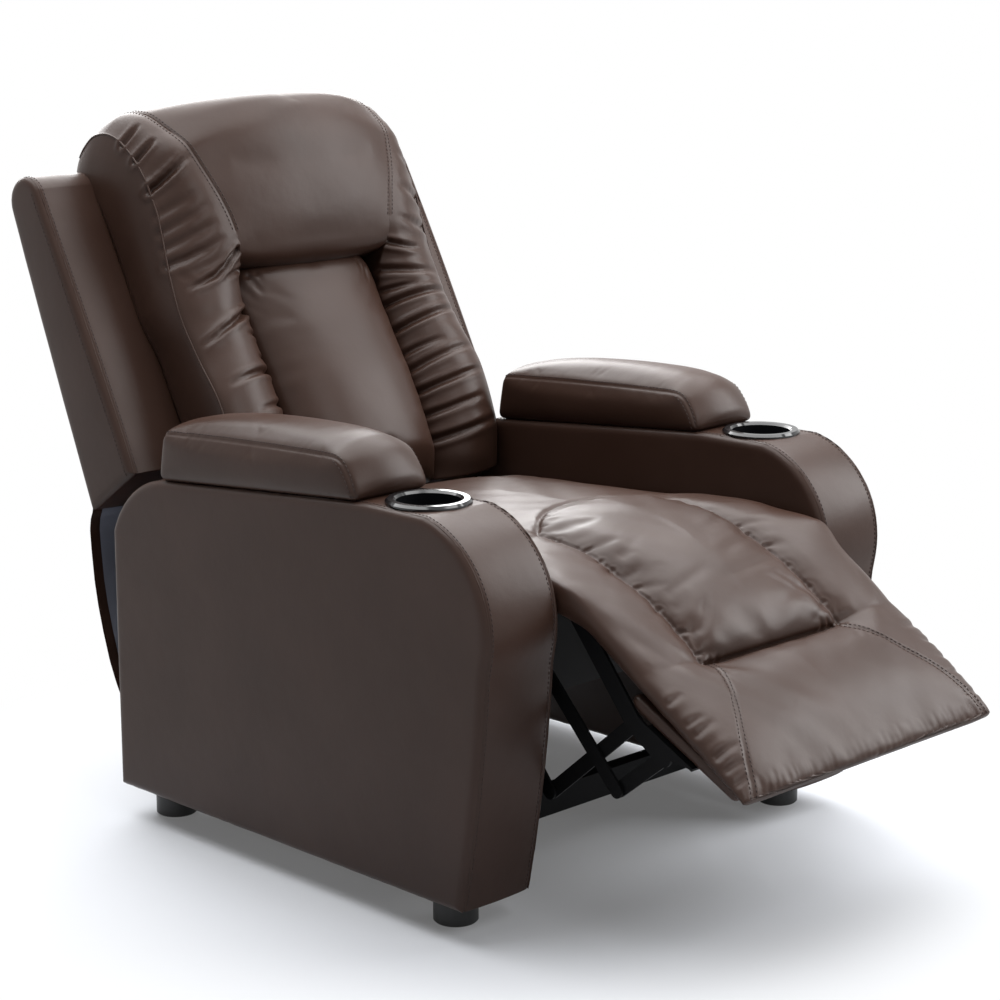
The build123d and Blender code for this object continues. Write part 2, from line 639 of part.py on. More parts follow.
def leg_bracket():
    """Steel web beside the leg pad with the knee eye, two link studs and a flange under the board."""
    low = -FOOTBOARD_T / 2 - SKIN_GAP
    reach = (-FLANGE_REACH[1], -FLANGE_REACH[0])
    flange = block((LINK_OUT - FLANGE_DEPTH, LINK_OUT), reach, (low - LINK_STEEL, low))
    for x, y in bracket_screw_spots():
        flange -= upright(x, y, low - 2 * LINK_STEEL, low + OVERCUT, PIN_R / 2 + BOLT_HOLE)
    place = footboard_place()
    near = place * Pos(0, -FLANGE_REACH[0], low - LINK_STEEL / 2)
    far = place * Pos(0, -FLANGE_REACH[1], low - LINK_STEEL / 2)
    ends = [(spot.position.Y, spot.position.Z) for spot in (near, far)]
    web = make_face(Polyline(HEEL_PIVOT, TOE_PIVOT, ends[1], ends[0], close=True))
    web += strip(KNEE, HEEL_PIVOT, EYE_WIDTH)
    web += strip(HEEL_PIVOT, TOE_PIVOT, EYE_WIDTH)
    web -= Pos(*KNEE) * Circle(AXLE_R + RUNNING)
    bracket = across(web, LINK_IN, LINK_OUT) + place * flange
    for point in (HEEL_PIVOT, TOE_PIVOT):
        bracket += rod(point, PIN_R, COUPLER_IN - HEAD_GAP, LINK_IN + OVERCUT)
        bracket += rod(point, HEAD_R, COUPLER_IN - HEAD_GAP - HEAD_T, COUPLER_IN - HEAD_GAP)
    return bracket


def bracket_screw(x, y):
    low = -FOOTBOARD_T / 2 - SKIN_GAP - LINK_STEEL - HEAD_GAP
    head = upright(x, y, low - HEAD_T, low, PIN_R)
    return footboard_place() * (head + upright(x, y, low, FOOTBOARD_T / 4, PIN_R / 2))


def make_leg_rest():
    make_footboard()
    pad = LEG_PLACE * whole_width(leg_section)
    reach = LEG_HEEL + EYE_WIDTH
    around = (-reach, reach)
    notch = LEG_PLACE * block((NOTCH_HALF, CUSHION_HALF + OVERCUT), around, around)
    add("leg_pad", pad - notch - mirror(notch, about=Plane.YZ))
    add_pair("leg_bracket", leg_bracket())
    add("bracket_screws", both([bracket_screw(x, y) for x, y in bracket_screw_spots()]))


def swing_link(top, elbow):
    """Link that turns on the side plate and carries the elbow stud of its coupler."""
    outline = strip(top, elbow, LINK_WIDTH) - Pos(*top) * Circle(PIN_R + RUNNING)
    link = across(outline, LINK_IN, LINK_OUT)
    link += rod(elbow, PIN_R, COUPLER_IN - HEAD_GAP, LINK_IN + OVERCUT)
    return link + rod(elbow, HEAD_R, COUPLER_IN - HEAD_GAP - HEAD_T, COUPLER_IN - HEAD_GAP)


def coupler(elbow, pivot):
    """Link from an elbow to the leg bracket, where the loop is opened and the hole is loose."""
    outline = strip(elbow, pivot, LINK_WIDTH)
    outline -= Pos(*elbow) * Circle(PIN_R + RUNNING)
    outline -= Pos(*pivot) * Circle(PIN_R + LOOSE)
    return across(outline, COUPLER_IN, COUPLER_OUT)


def make_links():
    add_pair("toe_swing_link", swing_link(TOE_SWING, TOE_ELBOW))
    add_pair("heel_swing_link", swing_link(HEEL_SWING, HEEL_ELBOW))
    add_pair("toe_coupler", coupler(TOE_ELBOW, TOE_PIVOT))
    add_pair("heel_coupler", coupler(HEEL_ELBOW, HEEL_PIVOT))


# Back

def back_bolt_point(height):
    return back_point(POST_FRONT + POST_T / 2, height)


def make_back_frame():
    front, rear = POST_FRONT, POST_FRONT + POST_T
    post = block((POST_OUT - POST_W, POST_OUT), (front, rear), (POST_BOTTOM, TOP_RAIL_AT + RAIL_H))
    post = BACK_PLACE * post
    x0, x1 = POST_OUT - POST_W - OVERCUT, POST_OUT + OVERCUT
    for height in BACK_BOLT_AT:
        post -= rod(back_bolt_point(height), BOLT_R + BOLT_HOLE, x0, x1)
    add_pair("back_post", post)
    inside = POST_OUT - POST_W - SKIN_GAP
    for name, height in (("back_top_rail", TOP_RAIL_AT), ("back_low_rail", LOW_RAIL_AT)):
        rail = block((-inside, inside), (front, rear), (height, height + RAIL_H))
        add(name, BACK_PLACE * rail)


def make_back_webbing():
    """Elastic bands across the back, their ends stapled to the two posts."""
    front, rear = POST_FRONT - WEB_GAP - WEB_T, POST_FRONT - WEB_GAP
    heights = [WEB_FROM + WEB_STEP * i for i in range(WEBS)]
    reach = POST_OUT - SKIN_GAP
    bands = [block((-reach, reach), (front, rear), (height, height + WEB_W)) for height in heights]
    add("back_webbing", Compound([BACK_PLACE * band for band in bands]))


def wing():
    """Padded side of the back, thick at its foot and slim at its rounded top."""
    outline = make_face(Polyline(
        (0, 0), (WING_FOOT_T, -WING_DROP), (WING_TOP_T, WING_LENGTH), (0, WING_LENGTH), close=True,
    ))
    solid = across(outline, POST_OUT + SKIN_GAP, WING_HALF)
    solid = fillet(solid.edges().filter_by(Axis.X).group_by(Axis.Z)[-1], WING_TOP_T / 4)
    return BACK_PLACE * solid


def outside_back():
    """Flat panel between the wings on the rear of the back."""
    outline = make_face(Polyline(
        (WING_FOOT_T - PANEL_T, -WING_DROP), (WING_FOOT_T, -WING_DROP), (WING_TOP_T, WING_LENGTH),
        (WING_TOP_T - PANEL_T, WING_LENGTH), close=True,
    ))
    return BACK_PLACE * across(outline, -POST_OUT, POST_OUT)


def top_cap():
    """Rear part of the top roll, which wraps over the frame behind the head cushion."""
    low = WING_LENGTH + SKIN_GAP
    shoulder = (CAP_DEPTH * 0.75, (low + 2 * CAP_TOP) / 3)
    outline = make_face([
        Line((0, low), (CAP_DEPTH, low)),
        ThreePointArc((CAP_DEPTH, low), shoulder, (CAP_DEPTH / 3, CAP_TOP)),
        Line((CAP_DEPTH / 3, CAP_TOP), (0, CAP_TOP)),
        Line((0, CAP_TOP), (0, low)),
    ])
    return BACK_PLACE * across(outline, -CAP_HALF, CAP_HALF)


def up_the_back(sections):
    """Soft solid lofted through (share of the height, middle, half-width, side, crown)."""
    return BACK_PLACE * loft([
        Pos(0, 0, share * WING_LENGTH) * pillow(mid, half, -SKIN_GAP, -side, -crown)
        for share, mid, half, side, crown in sections
    ])


def make_back_cushions():
    head = [(share, 0, half, side, crown) for share, half, side, crown in HEAD_LINES]
    add("head_cushion", up_the_back(head))
    lumbar = [(share, 0, LUMBAR_HALF, side, crown) for share, side, crown in LUMBAR_LINES]
    add("lumbar_cushion", up_the_back(lumbar))
    bolster = []
    for share, inner, outer, side, crown in BOLSTER_LINES:
        inner += CHANNEL
        bolster.append((share, (inner + outer) / 2, (outer - inner) / 2, side, crown))
    relief = strip(RECLINE, back_bolt_point(BACK_BOLT_AT[0]), BACK_PLATE_W + 2 * LIP)
    solid = up_the_back(bolster) - across(relief, POST_OUT, WING_HALF)
    middle = (0, LUMBAR_HALF + CHANNEL / 2)
    below_head = (2 * POST_BOTTOM, HEAD_LINES[0][0] * WING_LENGTH)
    add_pair("side_bolster", solid - BACK_PLACE * block(middle, (-WING_HALF, WING_HALF), below_head))


def back_plate():
    """Steel plate on a back post with the recline eye and the slot for the seat's drive stud."""
    outline = strip(RECLINE, back_bolt_point(BACK_BOLT_AT[0]), BACK_PLATE_W)
    tail = (RECLINE[0], RECLINE[1] - DRIVE_SLOT[1])
    outline += strip(RECLINE, tail, BACK_PLATE_W)
    outline -= Pos(*RECLINE) * Circle(RECLINE_PIN_R + RUNNING)
    ends = [(RECLINE[0], RECLINE[1] - reach) for reach in DRIVE_SLOT]
    outline -= strip(ends[0], ends[1], 2 * DRIVE_SLOT_R)
    for height in BACK_BOLT_AT:
        outline -= Pos(*back_bolt_point(height)) * Circle(BOLT_R + BOLT_HOLE)
    return across(outline, LINK_IN, LINK_OUT)


def back_bolt(height):
    point = back_bolt_point(height)
    head = rod(point, HEAD_R, LINK_OUT + HEAD_GAP, LINK_OUT + HEAD_GAP + HEAD_T)
    return head + rod(point, BOLT_R, POST_OUT - POST_W, LINK_OUT + HEAD_GAP)


def make_back():
    make_back_frame()
    make_back_webbing()
    add_pair("wing", wing())
    add("outside_back", outside_back())
    add("top_cap", top_cap())
    make_back_cushions()
    add_pair("back_plate", back_plate())
    add("back_bolts", both([back_bolt(height) for height in BACK_BOLT_AT]))


def centring():
    """Move that puts the whole set's box over the origin, standing on z = 0."""
    box = Compound(list(nodes.values())).bounding_box()
    return Pos(-box.center().X, -box.center().Y, -box.min.Z)


def main():
    make_arms()
    make_arm_pads()
    make_cups()
    make_feet()
    make_base()
    make_skirt()
    make_seat()
    make_leg_rest()
    make_links()
    make_back()
    move = centring()
    print("moved by", move.position)
    os.makedirs("parts", exist_ok=True)
    for name, solid in nodes.items():
        export_step(move * solid, f"parts/{name}.step")


main()
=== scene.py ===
import json
import math
from itertools import product

import bpy
import numpy as np
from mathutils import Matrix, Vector
from mathutils.bvhtree import BVHTree


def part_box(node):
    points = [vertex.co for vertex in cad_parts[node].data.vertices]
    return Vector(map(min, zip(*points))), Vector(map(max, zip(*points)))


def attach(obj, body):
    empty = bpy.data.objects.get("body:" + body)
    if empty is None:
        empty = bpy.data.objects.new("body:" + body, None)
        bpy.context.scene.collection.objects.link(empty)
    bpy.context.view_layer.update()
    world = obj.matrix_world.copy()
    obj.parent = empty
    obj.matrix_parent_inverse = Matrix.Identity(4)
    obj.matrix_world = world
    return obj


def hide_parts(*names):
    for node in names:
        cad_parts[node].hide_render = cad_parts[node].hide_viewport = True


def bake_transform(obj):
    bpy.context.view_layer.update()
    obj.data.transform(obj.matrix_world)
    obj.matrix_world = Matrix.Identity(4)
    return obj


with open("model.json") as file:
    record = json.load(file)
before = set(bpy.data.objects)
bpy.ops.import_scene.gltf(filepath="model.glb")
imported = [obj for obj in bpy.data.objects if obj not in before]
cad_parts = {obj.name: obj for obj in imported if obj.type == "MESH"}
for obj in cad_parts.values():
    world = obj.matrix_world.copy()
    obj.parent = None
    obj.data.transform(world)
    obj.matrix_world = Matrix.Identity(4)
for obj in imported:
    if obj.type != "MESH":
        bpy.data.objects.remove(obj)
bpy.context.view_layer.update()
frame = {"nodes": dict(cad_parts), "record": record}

# Shapes are worked out in millimetres in the chair frame of the part's source: x = 0 is the middle,
# the chair faces -Y and the floor is z = 0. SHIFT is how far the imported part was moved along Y.
ARM_REAR_Y = 360.0
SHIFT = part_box("right_arm_cover")[1].y * 1000 - ARM_REAR_Y

ARM_OUTER, ARM_INNER, ARM_MID = 400.0, 268.0, 334.0
BACK_LEAN = math.radians(28.3)
WING_FOOT = (350.0, 512.0)
KNEE = (-400.0, 445.0)
LEG_SLOPE = math.radians(32.4)
PI = math.pi


# Numbers and meshes

def curve(ts, values, t):
    """Monotone cubic through the given points, for one value or several per point."""
    ts, t = np.asarray(ts, float), np.asarray(t, float)
    ys = np.asarray(values, float)
    flat = ys.ndim == 1
    ys = ys.reshape(len(ts), -1)
    step = np.diff(ts)[:, None]
    slope = np.diff(ys, axis=0) / step
    tangent = np.zeros_like(ys)
    same = slope[1:] * slope[:-1] > 0
    with np.errstate(divide="ignore", invalid="ignore"):
        mean = 2 * slope[1:] * slope[:-1] / (slope[1:] + slope[:-1])
    tangent[1:-1] = np.where(same, mean, 0)
    tangent[0], tangent[-1] = slope[0], slope[-1]
    i = np.clip(np.searchsorted(ts, t, side="right") - 1, 0, len(ts) - 2)
    h = step[i]
    u = ((t - ts[i])[..., None]) / h
    out = ((1 + 2 * u) * (1 - u) ** 2 * ys[i] + u * (1 - u) ** 2 * h * tangent[i]
           + u * u * (3 - 2 * u) * ys[i + 1] + u * u * (u - 1) * h * tangent[i + 1])
    return out[..., 0] if flat else out


def bump(x, width):
    return np.exp(-(x / width) ** 2)


def smooth(x, low, high):
    t = np.clip((x - low) / (high - low), 0, 1)
    return t * t * (3 - 2 * t)


def waves(t, lengths, rng):
    """Repeatable uneven ripple along t, about -1 to 1."""
    total = np.zeros_like(np.asarray(t, float))
    for length in lengths:
        total += rng.uniform(0.6, 1.0) * np.sin(2 * PI * t / length + rng.uniform(0, 6.28))
    return total / len(lengths)


def arc3(p, q, r, n):
    """Points on the circle through p, q and r, from p to r without the last."""
    (ax, ay), (bx, by), (cx, cy) = p, q, r
    aa, bb, cc = (x * x + y * y for x, y in (p, q, r))
    d = 2 * (ax * (by - cy) + bx * (cy - ay) + cx * (ay - by))
    ux = (aa * (by - cy) + bb * (cy - ay) + cc * (ay - by)) / d
    uy = (aa * (cx - bx) + bb * (ax - cx) + cc * (bx - ax)) / d
    a0, a1, a2 = (math.atan2(y - uy, x - ux) for x, y in (p, q, r))
    turn = (a2 - a0) % (2 * PI)
    if (a1 - a0) % (2 * PI) > turn:
        turn -= 2 * PI
    radius = math.hypot(ax - ux, ay - uy)
    angles = a0 + turn * np.arange(n) / n
    return np.stack([ux + radius * np.cos(angles), uy + radius * np.sin(angles)], 1)


def run_along(points):
    """Distance of each point along a line, from the first one."""
    return np.concatenate([[0], np.cumsum(np.linalg.norm(np.diff(points, axis=0), axis=1))])


def resample(points, pitch, closed=False):
    """Points at an even pitch along a line."""
    pts = np.asarray(points, float)
    if closed:
        pts = np.vstack([pts, pts[:1]])
    run = run_along(pts)
    count = max(int(round(run[-1] / pitch)), 2)
    at = np.linspace(0, run[-1], count + 1)
    if closed:
        at = at[:-1]
    return np.stack([np.interp(at, run, pts[:, k]) for k in range(pts.shape[1])], 1)


def to_row(points):
    return (np.asarray(points, float) + (0, SHIFT, 0)) / 1000


def back_to_chair(points):
    """(x, up the back, out of its front) to the chair frame."""
    x, v, w = np.moveaxis(np.asarray(points, float), -1, 0)
    y = WING_FOOT[0] + v * math.sin(BACK_LEAN) - w * math.cos(BACK_LEAN)
    z = WING_FOOT[1] + v * math.cos(BACK_LEAN) + w * math.sin(BACK_LEAN)
    return np.stack([x, y, z], -1)


def add_object(name, mesh, material):
    """Smooth-shaded object of a mesh, in the scene."""
    mesh.polygons.foreach_set("use_smooth", [True] * len(mesh.polygons))
    obj = bpy.data.objects.new(name, mesh)
    bpy.context.scene.collection.objects.link(obj)
    mesh.materials.append(material)
    return obj


def make(name, verts, faces, material, closed=True):
    """Mesh object from chair-frame points. A closed skin gets its faces turned outwards."""
    mesh = bpy.data.meshes.new(name)
    mesh.from_pydata([tuple(v) for v in to_row(verts)], [], [tuple(f) for f in faces])
    mesh.validate()
    if closed and inside_out(mesh):
        mesh.flip_normals()
    return add_object(name, mesh, material)


def inside_out(mesh):
    """True if the volume that the faces enclose is negative."""
    return sum(face.center.dot(face.normal) * face.area for face in mesh.polygons) < 0


def grid_faces(rows, cols, wrap_cols=False):
    index = np.arange(rows * cols).reshape(rows, cols)
    if wrap_cols:
        index = np.hstack([index, index[:, :1]])
    quads = np.stack([index[:-1, :-1], index[:-1, 1:], index[1:, 1:], index[1:, :-1]], -1)
    return quads.reshape(-1, 4).tolist()


def tube(name, loops, material):
    """Closed skin through a stack of closed loops, with its two ends filled."""
    rows, cols = loops.shape[:2]
    faces = grid_faces(rows, cols, wrap_cols=True)
    verts = np.vstack([loops.reshape(-1, 3), loops[0].mean(0), loops[-1].mean(0)])
    n, last = rows * cols, (rows - 1) * cols
    faces += [[n, (i + 1) % cols, i] for i in range(cols)]
    faces += [[n + 1, last + i, last + (i + 1) % cols] for i in range(cols)]
    return make(name, verts, faces, material)


def rounded_box(low, high, radius, pitch):
    """Vertices and faces of a box with round edges, on an even grid."""
    low, high = np.asarray(low, float), np.asarray(high, float)
    counts = np.maximum(((high - low) / pitch).astype(int), 4)
    seen, verts, faces = {}, [], []

    def place(key):
        if key not in seen:
            seen[key] = len(verts)
            p = low + (high - low) * np.array(key) / counts
            q = np.clip(p, low + radius, high - radius)
            out = p - q
            verts.append(q + out * (radius / max(np.linalg.norm(out), 1e-9)))
        return seen[key]

    for axis in range(3):
        a, b = (axis + 1) % 3, (axis + 2) % 3
        for end, i, j in product((0, int(counts[axis])), range(counts[a]), range(counts[b])):
            corners = []
            for di, dj in ((0, 0), (1, 0), (1, 1), (0, 1)):
                key = [0, 0, 0]
                key[axis], key[a], key[b] = end, i + di, j + dj
                corners.append(place(tuple(key)))
            faces.append(corners if end else corners[::-1])
    return np.array(verts), faces


def read(mesh, key):
    """The "co" or "normal" of each vertex."""
    values = np.zeros(len(mesh.vertices) * 3)
    mesh.vertices.foreach_get(key, values)
    return values.reshape(-1, 3)


def set_coords(obj, co):
    obj.data.vertices.foreach_set("co", np.asarray(co, np.float32).ravel())
    obj.data.update()


def bake(obj):
    """Puts what the modifiers make into the mesh."""
    dg = bpy.context.evaluated_depsgraph_get()
    dg.update()
    mesh = bpy.data.meshes.new_from_object(obj.evaluated_get(dg))
    obj.modifiers.clear()
    obj.data = mesh
    mesh.polygons.foreach_set("use_smooth", [True] * len(mesh.polygons))


def refine(obj):
    obj.modifiers.new("Fine", "SUBSURF").levels = 1
    bake(obj)


def settle(obj, held, pressure, cap, frames=16):
    """Lets a padded cover swell as cloth under pressure, by no more than the cap in millimetres.

    held is 1 for the points that stay. The end points of a tube come after the others and stay too.
    """
    scene = bpy.context.scene
    start = read(obj.data, "co")
    held = np.round(np.concatenate([held.ravel(), np.ones(len(start) - held.size)]), 1)
    group = obj.vertex_groups.new(name="held")
    for weight in np.unique(held):
        if weight > 0:
            group.add(np.nonzero(held == weight)[0].tolist(), float(weight), "REPLACE")
    mod = obj.modifiers.new("Cloth", "CLOTH")
    mod.settings.quality = 5
    mod.settings.mass = 0.4
    mod.settings.tension_stiffness = 12
    mod.settings.compression_stiffness = 6
    mod.settings.shear_stiffness = 4
    mod.settings.bending_stiffness = 0.4
    mod.settings.use_pressure = True
    mod.settings.uniform_pressure_force = pressure
    mod.settings.vertex_group_mass = "held"
    mod.settings.effector_weights.gravity = 0
    mod.collision_settings.use_collision = False
    mod.point_cache.frame_start, mod.point_cache.frame_end = 1, frames
    for number in range(1, frames + 1):
        scene.frame_set(number)
    dg = bpy.context.evaluated_depsgraph_get()
    done = bpy.data.meshes.new_from_object(obj.evaluated_get(dg))
    move = read(done, "co") - start
    size = np.linalg.norm(move, axis=1, keepdims=True)
    limit = cap / 1000
    obj.modifiers.remove(mod)
    obj.vertex_groups.remove(group)
    scene.frame_set(1)
    set_coords(obj, start + move * limit * np.tanh(size / limit) / np.maximum(size, 1e-9))


# How far round a pressed line its mark is looked for, and how far above and below it, in metres
MARK_REACH, MARK_RISE = 0.03, 0.02
# The raised rims of a crease: height as a share of its depth, place and width as shares of its width
RIM_HEIGHT, RIM_PLACE, RIM_WIDTH = 0.28, 2.2, 1.1


def press(obj, marks):
    """Presses seams and creases into a finished skin.

    Each mark is (line of chair-frame points, depth, width, fade). A fading one is a crease: it has
    rims, and it dies out towards its end.
    """
    co, no = read(obj.data, "co"), read(obj.data, "normal")
    sink, rim = np.zeros(len(co)), np.zeros(len(co))
    for line, depth, width, fade in marks:
        target = to_row(resample(line, 2.0))
        near = np.all((co > target.min(0) - MARK_REACH) & (co < target.max(0) + MARK_REACH), axis=1)
        pick = np.nonzero(near)[0]
        best, place = np.full(len(pick), 1.0), np.zeros(len(pick))
        for k, spot in enumerate(target):
            off = co[pick] - spot
            rise = np.sum(off * no[pick], 1)
            flat = np.where(np.abs(rise) < MARK_RISE, np.sum(off * off, 1) - rise**2, 1.0)
            closer = flat < best
            best[closer] = flat[closer]
            place[closer] = k / max(len(target) - 1, 1)
        gap = np.sqrt(np.maximum(best, 0)) * 1000
        deep = depth * (1 - place**2) if fade else depth
        sink[pick] = np.maximum(sink[pick], deep * bump(gap, width))
        if fade:
            edge = RIM_HEIGHT * deep * bump(gap - RIM_PLACE * width, RIM_WIDTH * width)
            rim[pick] = np.maximum(rim[pick], edge)
    set_coords(obj, co + no * (rim - sink)[:, None] / 1000)


def surface(*objs):
    """Search trees of the skins that stitches and lines are laid on."""
    trees = []
    for obj in objs:
        polys = [list(p.vertices) for p in obj.data.polygons]
        trees.append(BVHTree.FromPolygons([tuple(c) for c in read(obj.data, "co")], polys))
    return trees


def snap(trees, point):
    """Nearest point on the skins, and the direction out of them there."""
    hits = [tree.find_nearest(Vector(point)) for tree in trees]
    hits = [hit for hit in hits if hit[0] is not None]
    hit = min(hits, key=lambda h: h[3])
    return np.array(hit[0]), np.array(hit[1])


def on_skin(trees, line):
    """The chair-frame points of a line, laid on the skins."""
    return np.array([snap(trees, to_row(p))[0] * 1000 - (0, SHIFT, 0) for p in line])


def bead():
    """Unit stitch along X: a small rounded grain of thread."""
    sides, rings = 6, 4
    verts, faces = [(-1, 0, 0)], []
    for ring in range(1, rings):
        a = PI * ring / rings
        for side in range(sides):
            b = 2 * PI * side / sides
            verts.append((-math.cos(a), math.sin(a) * math.cos(b), math.sin(a) * math.sin(b)))
    verts.append((1, 0, 0))
    last = len(verts) - 1
    for side in range(sides):
        nxt = (side + 1) % sides
        faces.append((0, 1 + nxt, 1 + side))
        for ring in range(rings - 2):
            p = 1 + ring * sides
            faces.append((p + side, p + nxt, p + sides + nxt, p + sides + side))
        p = 1 + (rings - 2) * sides
        faces.append((last, p + side, p + nxt))
    return np.array(verts, float), faces


# Millimetres, but the lift off the skin in metres
STITCH_LENGTH, STITCH_PITCH, STITCH_RADIUS, STITCH_LIFT = 4.6, 6.6, 0.75, 0.00035


def stitches(name, lines, trees, body):
    """Rows of thread lying on the skins, as one piece that rides on a body."""
    grain, grain_faces = bead()
    shape = grain * (STITCH_LENGTH / 2000, STITCH_RADIUS / 1000, STITCH_RADIUS * 0.75 / 1000)
    verts, faces = [], []
    for line in lines:
        path = to_row(resample(line, STITCH_PITCH))
        for a, b in zip(path[:-1], path[1:]):
            spot, out = snap(trees, (a + b) / 2)
            along = b - a
            along = along - out * (along @ out)
            size = np.linalg.norm(along)
            if size < 1e-6:
                continue
            along = along / size
            side = np.cross(out, along)
            base = len(verts)
            verts.extend(spot + out * STITCH_LIFT + shape @ np.stack([along, side, out]))
            faces.extend([[base + k for k in face] for face in grain_faces])
    mesh = bpy.data.meshes.new(name)
    mesh.from_pydata([tuple(v) for v in verts], [], faces)
    obj = add_object(name, mesh, THREAD)
    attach(obj, body)


PIPING_RADIUS, PIPING_PITCH = 1.7, 6.0


def piping(name, line, body):
    """Thin round piping along a line of chair-frame points."""
    path = resample(line, PIPING_PITCH)
    tangent = np.gradient(path, axis=0)
    tangent /= np.linalg.norm(tangent, axis=1, keepdims=True)
    side = np.cross(tangent, (1.0, 0.0, 0.01))
    side /= np.linalg.norm(side, axis=1, keepdims=True)
    up = np.cross(side, tangent)
    angles = np.linspace(0, 2 * PI, 9)[:-1]
    spoke = np.cos(angles)[None, :, None] * side[:, None] + np.sin(angles)[None, :, None] * up[:, None]
    obj = tube(name, path[:, None] + PIPING_RADIUS * spoke, HIDE)
    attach(obj, body)


# Materials

def wire(tree, node, **inputs):
    """Sets inputs of a node to values, and links those that are given a socket."""
    for key, value in inputs.items():
        socket = node.inputs[key.replace("_", " ")]
        if isinstance(value, bpy.types.NodeSocket):
            tree.links.new(value, socket)
        else:
            socket.default_value = value
    return node


def add_node(tree, kind, **inputs):
    return wire(tree, tree.nodes.new(kind), **inputs)


def own_place(tree):
    return add_node(tree, "ShaderNodeTexCoord").outputs["Object"]


def principled(name, color, rough, **more):
    mat = bpy.data.materials.new(name)
    mat.use_nodes = True
    tree = mat.node_tree
    shader = wire(tree, tree.nodes["Principled BSDF"], Base_Color=(*color, 1), Roughness=rough, **more)
    return mat, tree, shader


def noise(tree, scale, **more):
    return add_node(tree, "ShaderNodeTexNoise", Scale=scale, Vector=own_place(tree), **more).outputs["Fac"]


def relief(tree, height, strength, distance, **more):
    node = add_node(tree, "ShaderNodeBump", Height=height, Strength=strength, Distance=distance, **more)
    return node.outputs["Normal"]


def leather(name, dark, light, rough):
    """Satin hide: fine pebble grain, soft creases and slightly uneven colour."""
    mat, tree, shader = principled(name, dark, rough, Specular_IOR_Level=0.2)
    ramp = add_node(tree, "ShaderNodeValToRGB", Fac=noise(tree, 7, Detail=3))
    ends = ramp.color_ramp.elements
    ends[0].position, ends[1].position = 0.3, 0.72
    ends[0].color, ends[1].color = (*dark, 1), (*light, 1)
    wear = add_node(tree, "ShaderNodeMapRange", Value=noise(tree, 16, Detail=4),
                    To_Min=rough - 0.05, To_Max=rough + 0.06)
    pebble = add_node(tree, "ShaderNodeTexVoronoi", Scale=850, Vector=own_place(tree))
    grain = relief(tree, pebble.outputs["Distance"], 0.10, 0.0004)
    crease = relief(tree, noise(tree, 38, Detail=5), 0.14, 0.003, Normal=grain)
    wire(tree, shader, Base_Color=ramp.outputs["Color"], Roughness=wear.outputs["Result"], Normal=crease)
    return mat


def plain(name, color, rough, scale=240, strength=0.12, distance=0.0004, **more):
    """Finish of one colour with a faint uneven surface."""
    mat, tree, shader = principled(name, color, rough, **more)
    wire(tree, shader, Normal=relief(tree, noise(tree, scale), strength, distance))
    return mat


# Fibres of a non-woven cloth: scale, strength and depth in metres
FIBRES = (700, 0.3, 0.0005)

HIDE = leather("brown_hide", (0.030, 0.0145, 0.0098), (0.039, 0.0200, 0.0142), 0.36)
THREAD = plain("brown_thread", (0.022, 0.011, 0.009), 0.8)
LINING = plain("grey_lining", (0.16, 0.17, 0.21), 0.9, *FIBRES)
CLOTH = plain("black_cloth", (0.006, 0.0055, 0.0055), 0.9, *FIBRES)
STEEL = plain("black_steel", (0.004, 0.004, 0.0043), 0.45, Specular_IOR_Level=0.06)
ZINC = plain("dark_zinc", (0.05, 0.05, 0.055), 0.35, Metallic=0.9)
GLOSS = plain("gloss_black", (0.006, 0.006, 0.007), 0.09, 60, 0.03)
RUBBER = plain("black_foot", (0.010, 0.010, 0.010), 0.5)
WOOD = plain("frame_pine", (0.30, 0.19, 0.10), 0.7, 60, 0.3)
NYLON = plain("nylon", (0.55, 0.53, 0.48), 0.4)

BY_SLOT = {"black_steel": STEEL, "zinc_fasteners": ZINC, "black_gloss": GLOSS, "black_feet": RUBBER,
           "frame_wood": WOOD, "nylon": NYLON, "black_fabric": CLOTH, "brown_upholstery": HIDE}
for part in frame["record"]["subparts"]:
    node = frame["nodes"][part["node"]]
    node.data.materials.clear()
    node.data.materials.append(BY_SLOT[part["material_slot"]])


def finish_soft(obj, body, *nodes, fill=0.7):
    """Common end of a padded piece: hides the parts it stands for and sets what it rides on."""
    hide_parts(*nodes)
    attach(obj, body)


def side_name(side):
    return "left" if side > 0 else "right"


# Padded slabs: arms and wings

# From the sewn edge of a slab's face inwards, and how far the skin lies behind the face there
EDGE_ROUND = ((0, 1, 2.4, 5, 9, 14), (6.6, 5.2, 3.2, 1.2, 0.2, 0))
# Across the band: how far the skin lies inside the outline, and how far in from the face
BAND = ((2.0, 7.6), (2.2, 8.4), (1.0, 9.4), (0.4, 11), (0.1, 14), (-0.3, 20), (-0.6, 27), (-0.9, 36),
        (-1.1, 44), (-1.2, 52), (-1.3, 60))
# From a slab's face to the stitches on its band
STITCH_IN = 12.4


def outward(loop):
    """Unit normals of a closed side-view loop, pointing out of it."""
    along = np.roll(loop, -2, 0) - np.roll(loop, 2, 0)
    out = np.stack([-along[:, 1], along[:, 0]], 1)
    out /= np.linalg.norm(out, axis=1, keepdims=True)
    middle = loop.mean(0)
    return out if np.sum(out * (loop - middle)) > 0 else -out


def at_shares(line, shares):
    pts = np.asarray(line, float)
    run = run_along(pts)
    return np.stack([np.interp(shares * run[-1], run, pts[:, k]) for k in (0, 1)], 1)


